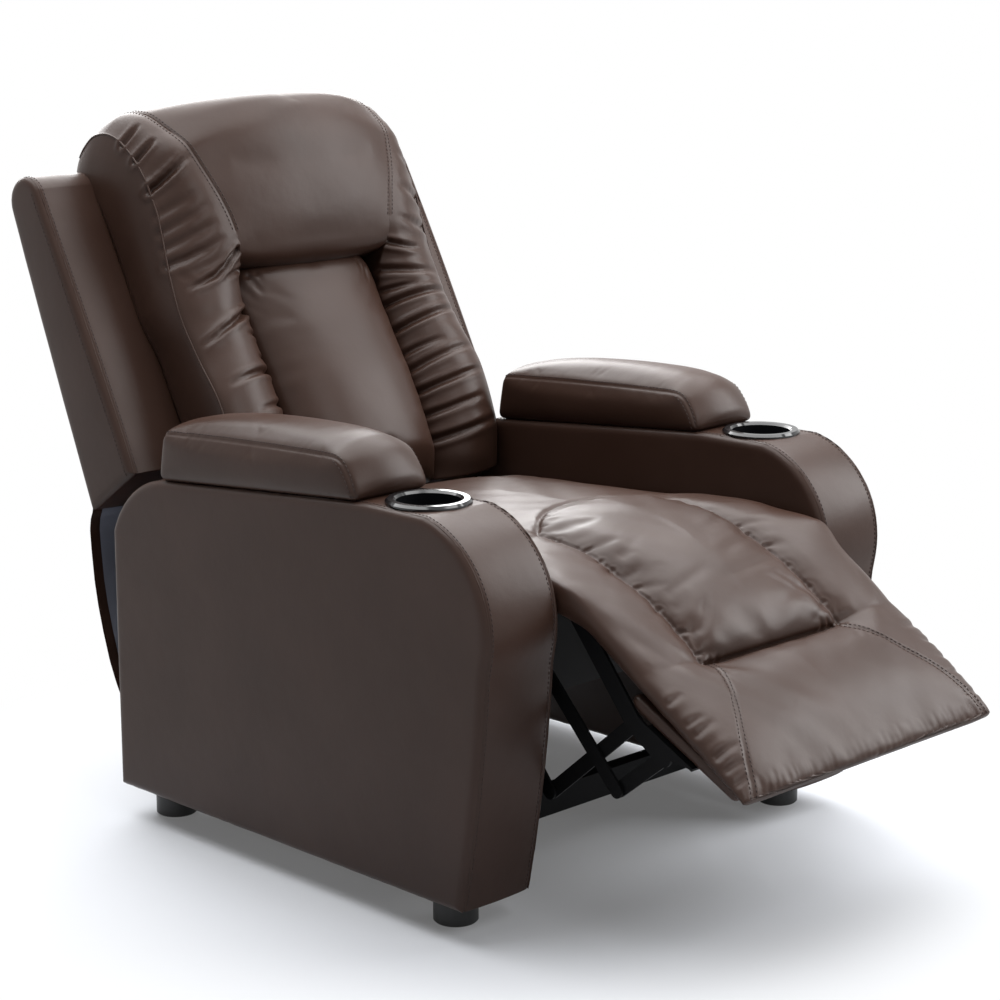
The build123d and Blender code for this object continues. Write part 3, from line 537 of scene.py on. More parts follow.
def slab(name, sides, counts, faces_x, domes, place):
    """Slab with two domed faces and a band between them, from the four sides of its side view.

    The sides are front and rear, upwards, and top and bottom, from front to rear. place puts the
    points in the chair frame.
    """
    front, top, rear, bottom = sides
    m, n = counts
    u, t = (0.5 - 0.5 * np.cos(np.linspace(0, PI, k)) for k in counts)
    f, r, b, c = at_shares(front, u), at_shares(rear, u), at_shares(bottom, t), at_shares(top, t)
    u, t = u[:, None, None], t[None, :, None]
    face = ((1 - t) * f[:, None] + t * r[:, None] + (1 - u) * b[None] + u * c[None]
            - (1 - u) * (1 - t) * f[0] - (1 - u) * t * r[0] - u * (1 - t) * f[-1] - u * t * r[-1])
    index = np.arange(m * n).reshape(m, n)
    rim = np.concatenate([index[:, 0], index[-1, 1:], index[-2::-1, -1], index[0, -2:0:-1]])
    loop = face.reshape(-1, 2)[rim]
    line = resample(loop, 1.5, closed=True)
    gap = np.stack([np.hypot(*(line - p).T).min() for p in face.reshape(-1, 2)]).reshape(m, n)
    swell = (np.sin(PI * u) * np.sin(PI * t))[..., 0] ** 0.6
    outer_x, inner_x = faces_x
    depth = np.interp(gap, *EDGE_ROUND)
    out = outward(loop)
    width = outer_x - inner_x
    across = [(inset, x) for inset, x in BAND if x < width / 2]
    across += [(inset, width - x) for inset, x in reversed(across)]
    verts = [np.concatenate([(outer_x - depth + domes[0] * swell)[..., None], face], 2).reshape(-1, 3)]
    for inset, x in across:
        verts.append(np.concatenate([np.full((len(loop), 1), outer_x - x), loop - out * inset], 1))
    verts.append(np.concatenate([(inner_x + depth - domes[1] * swell)[..., None], face], 2).reshape(-1, 3))
    quads = np.stack([index[:-1, :-1], index[1:, :-1], index[1:, 1:], index[:-1, 1:]], -1).reshape(-1, 4)
    last = m * n + len(across) * len(loop)
    faces = quads.tolist() + (quads[:, ::-1] + last).tolist()
    rings = [rim] + [m * n + k * len(loop) + np.arange(len(loop)) for k in range(len(across))] + [rim + last]
    for a, b in zip(rings[:-1], rings[1:]):
        faces += np.stack([np.roll(a, -1), a, b, np.roll(b, -1)], 1).tolist()
    return make(name, place(np.vstack(verts)), faces, HIDE)


def arm_sides():
    """Side view of an arm: bowed front with a round brow, sloping top, straight rear and foot."""
    toe, nose, brow, shoulder, heel = (-358, 47), (-401, 370), (-290, 554), (360, 430), (360, 47)
    front = np.vstack([arc3(toe, (-387, 220), nose, 60), arc3(nose, (-376, 503), brow, 60), brow])
    top = np.vstack([brow, (-175, 554), arc3((250, 518), (325, 482), shoulder, 40), shoulder])
    return front, top, (heel, shoulder), (toe, heel)


CUP_Y, CUP_BORE, CUP_LOW, CUP_HIGH = -236, 45.6, 470, 600
LOWEST_STITCH = 52


def arm_skin(side):
    """Cover of one arm: two faintly padded side panels and the band round their edge."""
    name = side_name(side)
    obj = slab(name + "_arm_skin", arm_sides(), (64, 84), (ARM_OUTER, ARM_INNER), (3.0, 0.0),
               lambda points: points * (side, 1, 1))
    spin = np.linspace(0, 2 * PI, 65)[:-1]
    ring = np.stack([side * ARM_MID + CUP_BORE * np.cos(spin), CUP_Y + CUP_BORE * np.sin(spin), 0 * spin], 1)
    cutter = tube("cup_bore", np.stack([ring + (0, 0, CUP_LOW), ring + (0, 0, CUP_HIGH)]), HIDE)
    cut = obj.modifiers.new("Bore", "BOOLEAN")
    cut.operation, cut.object, cut.solver = "DIFFERENCE", cutter, "EXACT"
    bake(obj)
    bpy.data.objects.remove(cutter)
    finish_soft(obj, "base", name + "_arm_cover", fill=0.9)
    front, top, rear, _ = arm_sides()
    shown = resample(np.vstack([front, top, rear[::-1]]), 6.0)
    shown = [p for p in shown if p[1] > LOWEST_STITCH]
    seams = [[(side * x, y, z) for y, z in shown] for x in (ARM_OUTER - STITCH_IN, ARM_INNER + STITCH_IN)]
    stitches(name + "_arm_stitches", seams, surface(obj), "base")


def arm_top(y):
    return np.interp(y, (-175, 250), (554, 518))


# Boxing seam of an arm pad, in side view, from its rear end to the foot of its front
PAD_SEAM = ((240, 588), (209, 593), (127, 598.6), (21, 604), (-61, 607.4), (-109, 609), (-132, 607.5),
            (-147, 598.8), (-159, 582), (-168, 560))
PAD_HALF, PAD_FRONT, PAD_REAR, PAD_HIGH = 66, -169, 249, 60


def arm_pad(side):
    """Raised pad on an arm: crowned top, boxing seam along both sides and a bulging, sloping front."""
    name = side_name(side)
    verts, faces = rounded_box((-PAD_HALF, PAD_FRONT, 0), (PAD_HALF, PAD_REAR, PAD_HIGH), 11, 4.4)
    x, y, h = verts.T.copy()
    lift, cross = h / PAD_HIGH, x / PAD_HALF
    tall = curve((PAD_FRONT, -132, -61, 21, 127, PAD_REAR), (56, 58, 62, 66, 69, 71), y)
    crown = curve((PAD_FRONT, -150, -110, -34, 88, 180, PAD_REAR), (13, 20, 24, 25, 24, 19, 11), y)
    height = lift * tall + smooth(lift, 0.5, 1.0) * crown * (1 - np.abs(cross) ** 2.2)
    front, rear = smooth(-y, 50, -PAD_FRONT), smooth(y, 150, PAD_REAR)
    bow = 1 - cross**2
    y = y + 36 * lift**1.5 * front - 17 * front * bow * np.sin(PI * np.clip(lift, 0, 1) * 0.85)
    y = y - 12 * lift * rear + 4 * rear * bow * np.sin(PI * lift)
    z = arm_top(y) + 0.4 + height
    x = x * (1 + 0.012 * np.sin(PI * lift))
    obj = make(name + "_arm_cushion", np.stack([side * ARM_MID + x, y, z], 1), faces, HIDE)
    settle(obj, (lift < 0.12).astype(float), 2.2, 4.0)
    refine(obj)
    line = curve(np.linspace(0, 1, len(PAD_SEAM)), np.array(PAD_SEAM), np.linspace(0, 1, 90))
    trees = surface(obj)
    marks, rows = [], []
    for edge in (-PAD_HALF, PAD_HALF):
        seam = np.concatenate([np.full((len(line), 1), side * ARM_MID + edge), line], 1)
        seam = on_skin(trees, seam)
        marks.append((seam, 1.3, 1.8, False))
        rows += [seam + (-np.sign(edge) * 2.0, 2.0, 4.6), seam[58:] + (0, 6.0, -4.0)]
    press(obj, marks)
    finish_soft(obj, "base", name + "_arm_pad")
    stitches(name + "_pad_stitches", rows, surface(obj), "base")


# Back, in its own frame: x, v up the back and w out of its front

def wing_sides():
    """Side view of a wing: bowed front, round top, rear that leans to the top and straight foot."""
    front = curve((0, 1, 2, 3), ((-3, -2), (60, 1.5), (240, 3), (444, 0)), np.linspace(0, 3, 80))
    top = np.vstack([arc3((444, 0), (477, -38), (446, -76), 40), (446, -76)])
    return front, top, ((-17, -125), (446, -76)), ((-3, -2), (-17, -125))


WING_OUTER, WING_INNER = 370.0, 247.0


def wing(side):
    """Padded wing, slim at the top and thick at its foot, sewn along its outer edge."""
    name = side_name(side)
    obj = slab(name + "_wing_skin", wing_sides(), (70, 34), (WING_OUTER, WING_INNER), (3.5, 1.0),
               lambda points: back_to_chair(points * (side, 1, 1)))
    finish_soft(obj, "back", name + "_wing", fill=0.9)
    front, top, _, _ = wing_sides()
    edge = [(side * (WING_OUTER - STITCH_IN), v, w) for v, w in np.vstack([front, top[1:]])]
    face = [(side * (WING_OUTER + 0.5), v, w - 13) for v, w in front]
    stitches(name + "_wing_stitches", [back_to_chair(edge), back_to_chair(face)], surface(obj), "back")


def rear_panel():
    """Outside back between the wings, along the rear line of their side view."""
    verts, faces = rounded_box((-246, -15, 0), (246, 477, 10), 4, 9.0)
    x, v, d = verts.T.copy()
    w = -(125 - 49 * (v + 17) / 463) + d - 1.5 * np.sin(PI * (v + 15) / 492) * (1 - (x / 250) ** 2)
    obj = make("rear_panel_skin", back_to_chair(np.stack([x, v, w], 1)), faces, HIDE)
    finish_soft(obj, "back", "outside_back", fill=0.9)


# Round the head roll from under it to its rear: middle (v, w), side (v, w), half width
HEAD_ROWS = (
    (264, 34, 266, 40, 146), (256, 74, 260, 80, 146), (249, 104, 259, 106, 146.5),
    (254, 122, 264, 121, 147), (280, 137, 277, 132, 149), (327, 159, 326, 147, 161),
    (387, 174, 376, 153, 178), (447, 186, 426, 152, 193), (486, 183, 474, 127, 205),
    (509, 156, 510, 98, 211), (522, 108, 527, 62, 214), (528, 54, 528, 22, 217),
    (527, 0, 522, -14, 219), (514, -38, 506, -42, 220), (484, -60, 480, -60, 220),
)


def head_roll():
    """Head cushion: a roll that overhangs the lumbar panel and wraps over the top of the back."""
    table = np.array(HEAD_ROWS, float)
    middle = table[:, :2]
    run = run_along(middle)
    dense = curve(run, table, np.linspace(0, run[-1], 118))
    rows = []
    for s in np.sin(np.linspace(-PI / 2, PI / 2, 97)):
        share = np.abs(s) ** 2.6
        vw = dense[:, :2] * (1 - share) + dense[:, 2:4] * share
        rows.append(np.concatenate([s * dense[:, 4:], vw], 1))
    obj = tube("head_roll", back_to_chair(np.stack(rows)), HIDE)
    edge = np.abs(np.stack(rows)[..., 0] / dense[None, :, 4])
    settle(obj, smooth(edge, 0.7, 0.96), 0.8, 2.0)
    refine(obj)
    finish_soft(obj, "back", "head_cushion", "top_cap")
    sewn = dense[28:110]
    return obj, [back_to_chair(np.concatenate([side * sewn[:, 4:], sewn[:, 2:4]], 1)) for side in (-1, 1)]


# Along a bolster: inner seam (x, v, w), piping (x, v, w), crown over the line between, foot (v, w)
BOLSTER_ROWS = (
    (135, -112, 48, 258, -112, 68, 26, -112, 4), (135, -40, 70, 261, -40, 99, 34, -40, 4),
    (135, 46, 78, 262, 46, 107, 33, 46, 4), (136, 128, 75, 261, 128, 92, 37, 128, 4),
    (137, 191, 76, 261, 192, 85, 36, 191, 4), (141, 235, 94, 260, 239, 88, 29, 237, 4),
    (147, 268, 124, 258, 287, 95, 20, 275, 4), (152, 291, 138, 257, 318, 101, 16, 300, 4),
    (161, 326, 147, 257, 353, 107, 14, 330, 4), (178, 376, 153, 257, 389, 107, 13, 360, 4),
    (193, 426, 152, 257, 419, 103, 12, 385, 3), (205, 474, 127, 257, 456, 90, 10, 405, 1),
    (211, 510, 98, 257, 484, 73, 9, 418, -2), (214, 527, 62, 257, 504, 46, 8, 428, -6),
    (217, 528, 22, 257, 510, 20, 7, 436, -11), (219, 522, -14, 257, 506, -4, 6, 440, -17),
    (220, 506, -42, 257, 494, -30, 4, 442, -24), (220, 480, -60, 257, 474, -50, 2, 444, -32),
)

# Creases over a bolster: height at the seam, height at the piping, from and to across it, depth, width
CREASES = {
    -1: ((424, 384, 0.12, 1, 5.2, 5.6), (470, 436, 0.45, 1, 4.4, 5), (500, 470, 0.45, 1, 3.8, 5),
         (372, 345, 0.3, 1, 1.6, 9), (352, 320, 0.25, 1, 1.8, 9), (326, 297, 0.25, 1, 1.8, 8),
         (302, 272, 0.2, 1, 2.6, 7), (276, 226, 0.06, 0.9, 5, 5), (250, 238, 0.04, 0.35, 2.8, 4),
         (192, 134, 0, 0.95, 6.4, 5), (150, 140, 0, 0.3, 2.6, 4), (112, 100, 0, 0.25, 2.4, 4),
         (90, 66, 0, 0.85, 4.8, 5.4), (40, 20, 0, 0.6, 3.2, 5), (0, -24, 0, 0.9, 3.8, 6),
         (-50, -66, 0, 0.7, 3.2, 5)),
    1: ((500, 474, 0.4, 1, 2.6, 6), (455, 425, 0.4, 1, 2.2, 7), (405, 380, 0.2, 1, 2, 8),
        (350, 330, 0.15, 1, 2.2, 8), (300, 285, 0.1, 1, 2.4, 7), (262, 256, 0, 0.6, 4.2, 5),
        (228, 214, 0, 0.9, 3.4, 6), (196, 190, 0, 0.4, 3, 4.5), (172, 178, 0, 1, 4.6, 5.5),
        (128, 146, 0, 1, 4.6, 5.5), (88, 92, 0, 0.5, 3, 5), (60, 78, 0, 1, 3.6, 6),
        (24, 40, 0, 1, 4.2, 5.5), (-14, 0, 0, 0.8, 3.4, 5.5), (-52, -40, 0, 1, 4, 6)),
}
# Factors on their depths and widths, and how far the foot of a bolster is sunk into the wing
CREASE_DEPTH, CREASE_WIDTH, FOOT_SUNK = 1.7, 0.8, 8


def bolster(side):
    """Ruched side cushion: from the sewn seam over a gathered crown to the piping, and its boxing."""
    name = side_name(side)
    rng = np.random.default_rng(5 if side < 0 else 8)
    table = np.array(BOLSTER_ROWS, float)
    middle = (table[:, 1:3] + table[:, 4:6]) / 2
    run = run_along(middle)
    fine = np.linspace(0, run[-1], 170)
    row = curve(run, table, fine)
    inner, outer, crown, foot = row[:, None, :3], row[:, None, 3:6], row[:, 6], row[:, 7:] - (0, FOOT_SUNK)
    along = np.gradient((row[:, 1:3] + row[:, 4:6]) / 2, axis=0)
    along /= np.linalg.norm(along, axis=1, keepdims=True)
    up = np.stack([0 * fine, -along[:, 1], along[:, 0]], 1)[:, None]
    s = np.concatenate([[0, 0.004, 0.012], np.linspace(0.03, 1, 36)])
    low = smooth(-row[:, 1], -330, -200)
    shape = np.sin(PI * s**0.92)[None] ** (1.3 - 0.58 * low)[:, None]
    ripple = waves(fine[:, None] + 26 * s[None], (111, 71, 49), rng) * (0.4 + 1.6 * low)[:, None]
    rise = (crown[:, None] + ripple) * shape
    ribbon = inner * (1 - s[None, :, None]) + outer * s[None, :, None] + up * rise[..., None]
    ribbon[..., 0] -= 1.5 * (1 - low)[:, None] * (1 - s)[None]
    ribbon[..., 0] -= (1.1 * waves(fine, (61, 92, 34), rng) * low)[:, None] * bump(s, 0.12)[None]
    box = np.linspace(0, 1, 10)[1:, None]
    out_x = 260 + 12 * smooth(row[:, 4], 150, 230)
    root = np.concatenate([out_x[:, None], foot], 1)[:, None]
    boxing = outer * (1 - box[None]) + root * box[None]
    boxing[..., 0] += 3 * np.sin(PI * box[None, :, 0])
    toe = np.concatenate([inner[:, 0, :1], foot], 1)[:, None]
    inside = np.concatenate([toe, toe * 0.4 + inner * 0.6], 1)
    loops = np.concatenate([inside, ribbon, boxing], 1)
    loops[..., 0] *= side
    obj = tube(name + "_bolster_skin", back_to_chair(loops), HIDE)
    held = np.ones(loops.shape[:2])
    held[3:-3, 5:39] = 0.0
    settle(obj, held, 1.6, 3.5, frames=14)
    refine(obj)
    marks = []
    for v_in, v_out, s_from, s_to, depth, width in CREASES[side]:
        line = []
        for share in np.linspace(s_from, s_to, 14):
            heights = row[:, 1] * (1 - share) + row[:, 4] * share
            climb = int(np.argmax(heights))
            i = np.interp(v_in + (v_out - v_in) * share, heights[:climb], np.arange(climb))
            k, j = int(i), int(np.argmin(np.abs(s - share)))
            spot = ribbon[k, j] * (1 - i + k) + ribbon[k + 1, j] * (i - k)
            line.append(back_to_chair(spot * (side, 1, 1)))
        from_piping = s_from > 0.08
        marks.append((line[::-1] if from_piping else line, CREASE_DEPTH * depth, CREASE_WIDTH * width, True))
    press(obj, marks)
    finish_soft(obj, "back", name + "_side_bolster")
    pipe = row[12:-8, 3:6] * (side, 1, 1) + (side * -0.6, 0, 0)
    piping(name + "_piping", back_to_chair(pipe), "back")
    return obj


def lumbar():
    """Smooth middle panel of the back, its top corners drawn in under the head roll."""
    v = np.linspace(-112, 284, 80)
    crown = curve((-112, -95, -60, 40, 140, 215, 236, 250, 268, 284),
                  (88, 114, 136, 133, 121, 108, 106, 102, 90, 66), v)
    valley = curve((-112, -40, 46, 128, 191, 235, 262, 284), (44, 62, 70, 68, 69, 74, 68, 50), v)
    valley = np.minimum(valley, crown - 12)
    s = np.sin(np.linspace(-PI / 2, PI / 2, 61))
    half = 137.5 + 1.2 * waves(v, (44, 71, 29), np.random.default_rng(13)) - 6 * smooth(v, 205, 255)
    top = np.stack([half[:, None] * s[None], np.repeat(v[:, None], 61, 1),
                    valley[:, None] + (crown - valley)[:, None] * (1 - np.abs(s[None]) ** 2.9) ** 0.66], -1)
    under = np.linspace(1, -1, 24)
    low = np.stack([half[:, None] * under[None], np.repeat(v[:, None], 24, 1), np.full((80, 24), 10.0)], -1)
    loops = np.concatenate([top, low], 1)
    obj = tube("lumbar_skin", back_to_chair(loops), HIDE)
    held = np.ones(loops.shape[:2])
    held[2:-2, 4:57] = 0
    settle(obj, held, 1.8, 5.0)
    refine(obj)
    marks = []
    pulls = ((-120, 14, 40, 2.2), (-106, 5, 26, 1.4), (121, -14, 38, 2.2), (104, -5, 26, 1.4))
    for x, tilt, length, depth in pulls:
        share = np.linspace(0, 1, 8)
        drop = 246 - length * share
        height = np.interp(drop, v, crown) * (1 - 0.1 * abs(x / 137) ** 3)
        marks.append((back_to_chair(np.stack([x + tilt * share, drop, height], 1)), depth, 4.5, True))
    press(obj, marks)
    finish_soft(obj, "back", "lumbar_cushion")


# Seat and leg rest as one chaise

def leg(s, h):
    """Side-view place of a point on the leg rest: s out from the knee, h above its middle line."""
    c, n = math.cos(LEG_SLOPE), math.sin(LEG_SLOPE)
    return (KNEE[0] - s * c - h * n, KNEE[1] - s * n + h * c)


# Half widths of the raised panel and of the chaise, and how much wider it gets at the knee
SEAM_X, EDGE_X, KNEE_COVER = 140.0, 253.0, 9.0
CHAISE_X = np.array([0.0, 102.0, SEAM_X, 174.0, 208.0, 238.0, EDGE_X])
# Seat: y, height of the underside, heights of the top at each x line
SEAT_ROWS = (
    (190, 404, 440, 436, 432, 428, 426, 422, 416), (174, 401, 456, 453, 447, 444, 442, 436, 428),
    (140, 400, 468, 464, 458, 455, 452, 446, 438), (60, 400, 477, 473, 467, 463, 459, 453, 445),
    (-60, 400, 486, 481, 475, 470, 466, 460, 452), (-150, 400, 489, 485, 479, 475, 471, 466, 457),
    (-190, 400, 492, 487, 481, 479, 476, 470, 461), (-225, 400, 501, 495, 483, 484, 481, 475, 465),
    (-270, 400, 503, 496, 481, 485, 483, 477, 467), (-310, 404, 501, 493, 477, 483, 482, 477, 467),
    (-350, 413, 494, 486, 469, 476, 477, 474, 467),
)
KNEE_ROW = ((-378, 424), (-405, 473), (-401, 466), (-393, 451), (-399, 458), (-404, 463), (-406, 465),
            (-405, 462))
# Leg rest: distance from the knee, heights over its middle line at each x line
LEG_ROWS = (
    (48, 30, 24, 10, 20, 24, 22, 15), (92, 31, 25, 10, 20, 24, 21, 14), (128, 27, 22, 9, 19, 23, 20, 12),
    (145, 17, 14, 7, 17, 22, 19, 11), (155, 4, 3, 2, 15, 21, 18, 10), (160, -5, -5, 0, 14, 20, 18, 10),
    (167, 9, 9, 10, 17, 21, 18, 10), (178, 15, 15, 16, 19, 22, 18, 10), (210, 20, 20, 20, 21, 22, 18, 10),
    (255, 23, 23, 22, 22, 22, 18, 9), (305, 20, 20, 20, 20, 19, 15, 7), (340, 14, 14, 14, 13, 12, 9, 3),
    (357, 7, 7, 7, 6, 5, 3, 0), (365, -1, -1, -1, -1, -2, -3, -4),
)
CROSS_SEAM = 160.0
LEG_UNDER = -11.0
# Double stitching from the panel's corners to the corners of the tip: x, distance from the knee
TIP_SEAM = ((135, 165), (147, 192), (163, 223), (185, 258), (208, 292), (226, 325), (236, 350), (242, 364))


# Soft wrinkles of the raised panel: from and to, each as x and distance past the knee, and their bow
WRINKLES = ((112, -70, 20, -30, 8), (118, -10, 10, 20, -6), (120, 40, -30, 60, 9), (110, 95, 30, 120, 5),
            (-116, -40, -40, -70, -5), (-112, 50, -20, 30, 6))


class Cover:
    """The chaise's top as a map: x across and a along it, from the rear of the seat to the tip."""

    def __init__(self):
        rows = [[(y, low)] + [(y, z) for z in tops] for y, low, *tops in SEAT_ROWS]
        rows.append(list(KNEE_ROW))
        rows += [[leg(s, LEG_UNDER)] + [leg(s, h) for h in tops] for s, *tops in LEG_ROWS]
        ctrl = np.array(rows, float)
        middle = ctrl[:, 1]
        self.run = run_along(middle)
        self.seat_y = middle[:len(SEAT_ROWS), 0]
        self.fine = np.linspace(0, self.run[-1], 200)
        dense = curve(self.run, ctrl.reshape(len(ctrl), -1), self.fine).reshape(len(self.fine), -1, 2)
        self.xs = np.concatenate([np.linspace(0, 118, 22)[:-1], np.linspace(118, 160, 15)[:-1],
                                  np.linspace(160, EDGE_X, 21)])
        self.tops = np.stack([curve(CHAISE_X, ring[1:], self.xs) for ring in dense])
        self.low = dense[:, 0]
        knee = self.run[len(SEAT_ROWS)]
        self.widen = KNEE_COVER * bump(self.fine - knee, 48)

    def at_y(self, y):
        return np.interp(-y, -self.seat_y, self.run[:len(SEAT_ROWS)])

    def at_leg(self, s):
        return np.interp(s, [row[0] for row in LEG_ROWS], self.run[-len(LEG_ROWS):])

    def spot(self, x, a):
        """Chair-frame point on the top."""
        place = np.interp(a, self.fine, np.arange(len(self.fine)))
        i = min(int(place), len(self.fine) - 2)
        line = self.tops[i] * (1 - place + i) + self.tops[i + 1] * (place - i)
        return (x, np.interp(abs(x), self.xs, line[:, 0]), np.interp(abs(x), self.xs, line[:, 1]))

    def line(self, start, end, bow):
        """Line on the top between two (x, a) places, bowed sideways in the middle."""
        share = np.linspace(0, 1, 10)
        bend = bow * np.sin(PI * share)
        return [self.spot(start[0] + (end[0] - start[0]) * t + b, start[1] + (end[1] - start[1]) * t)
                for t, b in zip(share, bend)]


def arc_y(x):
    """Where the raised panel starts on the seat."""
    return -172 - 50 * (x / 120) ** 2


def chaise_marks(cover, rng):
    """Seams, puckers and soft wrinkles of the chaise."""
    front, tip, knee = cover.at_leg(CROSS_SEAM), cover.run[-1], cover.at_leg(48) - 48
    marks = []

    def seam(places, depth, width):
        marks.append(([cover.spot(x, a) for x, a in places], depth, width, False))

    def crease(start, end, bow, depth, width):
        marks.append((cover.line(start, end, bow), depth, width, True))

    seam([(x, cover.at_y(arc_y(x))) for x in np.linspace(-SEAM_X, SEAM_X, 60)], 2.4, 2.8)
    seam([(x, front) for x in np.linspace(-130, 130, 60)], 3.0, 2.6)
    for x in np.arange(-124, 125, 31):
        start = cover.at_y(arc_y(x))
        crease((x, start), (x * 0.97, start + rng.uniform(10, 20)), 2, rng.uniform(0.6, 1.4), 3.8)
    for x in (-126, -112, 108, 124):
        crease((x, front), (x * 0.95, front - rng.uniform(16, 30)), 2, 2.4, 3.8)
    for side in (-1, 1):
        begin = cover.at_y(arc_y(SEAM_X))
        steps = np.linspace(begin, front, 60)
        wobble = 1.6 * waves(steps, (38, 57, 25), rng)
        seam([(side * (SEAM_X + d), a) for a, d in zip(steps, wobble)], 2.6, 2.3)
        a = begin + rng.uniform(6, 20)
        while a < front - 10:
            nick, fold = rng.uniform(10, 20), rng.uniform(26, 60)
            slant = rng.uniform(0.2, 0.7)
            inward = side if rng.uniform() < 0.62 else -side
            x = side * SEAM_X
            crease((x, a), (x - inward * nick, a + slant * nick), 0, 3.4, 2.8)
            crease((x, a), (x - inward * fold, a + slant * fold), side * 3, 1.5, 7.0)
            a += rng.uniform(24, 58)
        a = cover.at_leg(205)
        while a < cover.at_leg(345):
            inner = side * (EDGE_X - rng.uniform(16, 46))
            crease((side * EDGE_X, a), (inner, a - rng.uniform(-5, 7)), 2, rng.uniform(1.4, 3.0),
                   rng.uniform(3.6, 5.4))
            a += rng.uniform(14, 40)
        for x in np.arange(6, 250, 13):
            x = side * (x + rng.uniform(-5, 5))
            deep = rng.uniform(0.3, 0.9) + 0.7 * smooth(abs(x), 130, 220)
            crease((x, tip - 1), (x * 0.98, tip - rng.uniform(14, 36)), 1, deep, 4.2)
    for x0, s0, x1, s1, bow in WRINKLES:
        crease((x0, knee + s0), (x1, knee + s1), bow, 1.5, 8.0)
    return marks


def chaise():
    """One continuous cover from the rear of the seat over the knee to the tip of the leg rest."""
    rng = np.random.default_rng(3)
    cover = Cover()
    fine, xs, tops, low = cover.fine, cover.xs, cover.tops, cover.low
    up = tops[:, :1] - low[:, None]
    up = up / np.linalg.norm(up, axis=2, keepdims=True)
    begin, front = cover.at_y(arc_y(SEAM_X)), cover.at_leg(CROSS_SEAM)
    along, across = np.meshgrid(fine, xs, indexing="ij")
    panel = smooth(along, begin - 30, begin + 25) * smooth(-along, -front - 6, -front + 14)
    halves = []
    for side in (-1, 1):
        off = across - SEAM_X
        lift = -3.5 * bump(off, 10.0) * panel
        lift += 1.6 * waves(along + 0.3 * off, (37, 51, 73), rng) * bump(off + 18, 20) * panel
        lift += 0.9 * waves(along, (41, 57), rng) * bump(off - 16, 16) * panel
        lift += -5.0 * bump(along - front, 6.0) * smooth(-across, -142, -126)
        start = cover.at_y(arc_y(across))
        lift += -2.5 * bump(along - start, 6.0) * smooth(-across, -146, -126)
        lift += 1.4 * waves(along * 0.7 + across, (90, 61, 140), rng) * smooth(along, 60, 160)
        halves.append(tops + up * lift[..., None])
    right, left = halves
    wide = smooth(xs, 190, EDGE_X)[None] * cover.widen[:, None] + xs[None]
    drop = np.linspace(0, 1, 7)[1:-1]
    loops = []

    def wall(i, b, side, edge):
        """Point on the bulging side of the chaise, b of the way down from the edge of its top."""
        return (side * (wide[i, -1] + 5 * math.sin(PI * b)), *(edge * (1 - b) + low[i] * b))

    for i in range(len(fine)):
        ring = [(-wide[i, k], *right[i, k]) for k in range(len(xs) - 1, 0, -1)]
        ring += [(wide[i, k], *left[i, k]) for k in range(len(xs))]
        ring += [wall(i, b, 1, left[i, -1]) for b in drop]
        ring += [(x, *low[i]) for x in np.linspace(wide[i, -1], -wide[i, -1], 40)]
        ring += [wall(i, b, -1, right[i, -1]) for b in drop[::-1]]
        loops.append(ring)
    loops = np.array(loops)
    obj = tube("chaise_skin", loops, HIDE)
    held = np.ones(loops.shape[:2])
    held[3:-2, 2:2 * len(xs) - 3] = 0
    side_x = np.abs(loops[..., 0])
    held[(np.abs(side_x - SEAM_X) < 4) & (fine > begin)[:, None] & (fine < front + 6)[:, None]] = 1
    held[(side_x < 138) & (np.abs(fine - front) < 5)[:, None]] = 1
    settle(obj, held, 2.0, 5.0)
    refine(obj)
    marks = chaise_marks(cover, rng)
    rows = []
    for side in (-1, 1):
        path = curve(np.linspace(0, 1, len(TIP_SEAM)), np.array(TIP_SEAM, float), np.linspace(0, 1, 60))
        seam = np.array([cover.spot(side * x, cover.at_leg(s)) for x, s in path])
        marks.append((seam, 2.0, 2.8, False))
        rows += [seam + (side * inset, 0, 0) for inset in (-5.2, 5.2)]
    press(obj, marks)
    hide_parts("seat_cushion", "leg_pad")
    to_row((0, KNEE[0] + 34, KNEE[1] + 12))
    to_row((0, KNEE[0] - 34, KNEE[1] - 18))
    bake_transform(obj)
    stitches("footrest_stitches", rows, surface(obj), "leg_rest")


def footboard():
    """Padded board under the front of the leg rest."""
    rear, front = np.array((-508.0, 332.0)), np.array((-682.0, 243.2))
    length = np.linalg.norm(front - rear)
    along = (front - rear) / length
    out = np.array((-along[1], along[0]))
    verts, faces = rounded_box((-246, 0, -10), (246, length, 10), 8.5, 6.0)
    x, s, h = verts.T.copy()
    yz = rear + s[:, None] * along + h[:, None] * out
    obj = make("footboard_skin", np.concatenate([x[:, None], yz], 1), faces, HIDE)
    finish_soft(obj, "leg_rest", "footboard", fill=0.95)


# Skirt behind the seat, in side view from its hem up into the foot of the back
SKIRT = ((363, 58), (363.5, 112), (388, 150), (408, 185), (422, 215), (436, 258), (446, 295), (453, 331),
         (458, 378), (460, 408), (457, 426), (451, 438), (451, 447))


def skirt_sheet(name, inset, material, half):
    line = resample(SKIRT, 6.0)
    along = np.gradient(line, axis=0)
    along /= np.linalg.norm(along, axis=1, keepdims=True)
    line = line + inset * np.stack([-along[:, 1], along[:, 0]], 1)
    xs = np.linspace(-half, half, 90)
    rng = np.random.default_rng(21)
    sway = waves(xs, (310, 190, 120), rng)[None] * np.sin(np.linspace(0, PI, len(line)))[:, None]
    y = line[:, :1] + 2.5 * sway * (1 - (xs / half) ** 4)[None]
    grid = np.stack(np.broadcast_arrays(xs[None], y, line[:, 1:]), -1)
    obj = make(name, grid.reshape(-1, 3), grid_faces(len(line), len(xs)), material, closed=False)
    to_row((0, 366, 130))
    to_row((0, 458, 424))
    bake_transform(obj)
    return obj


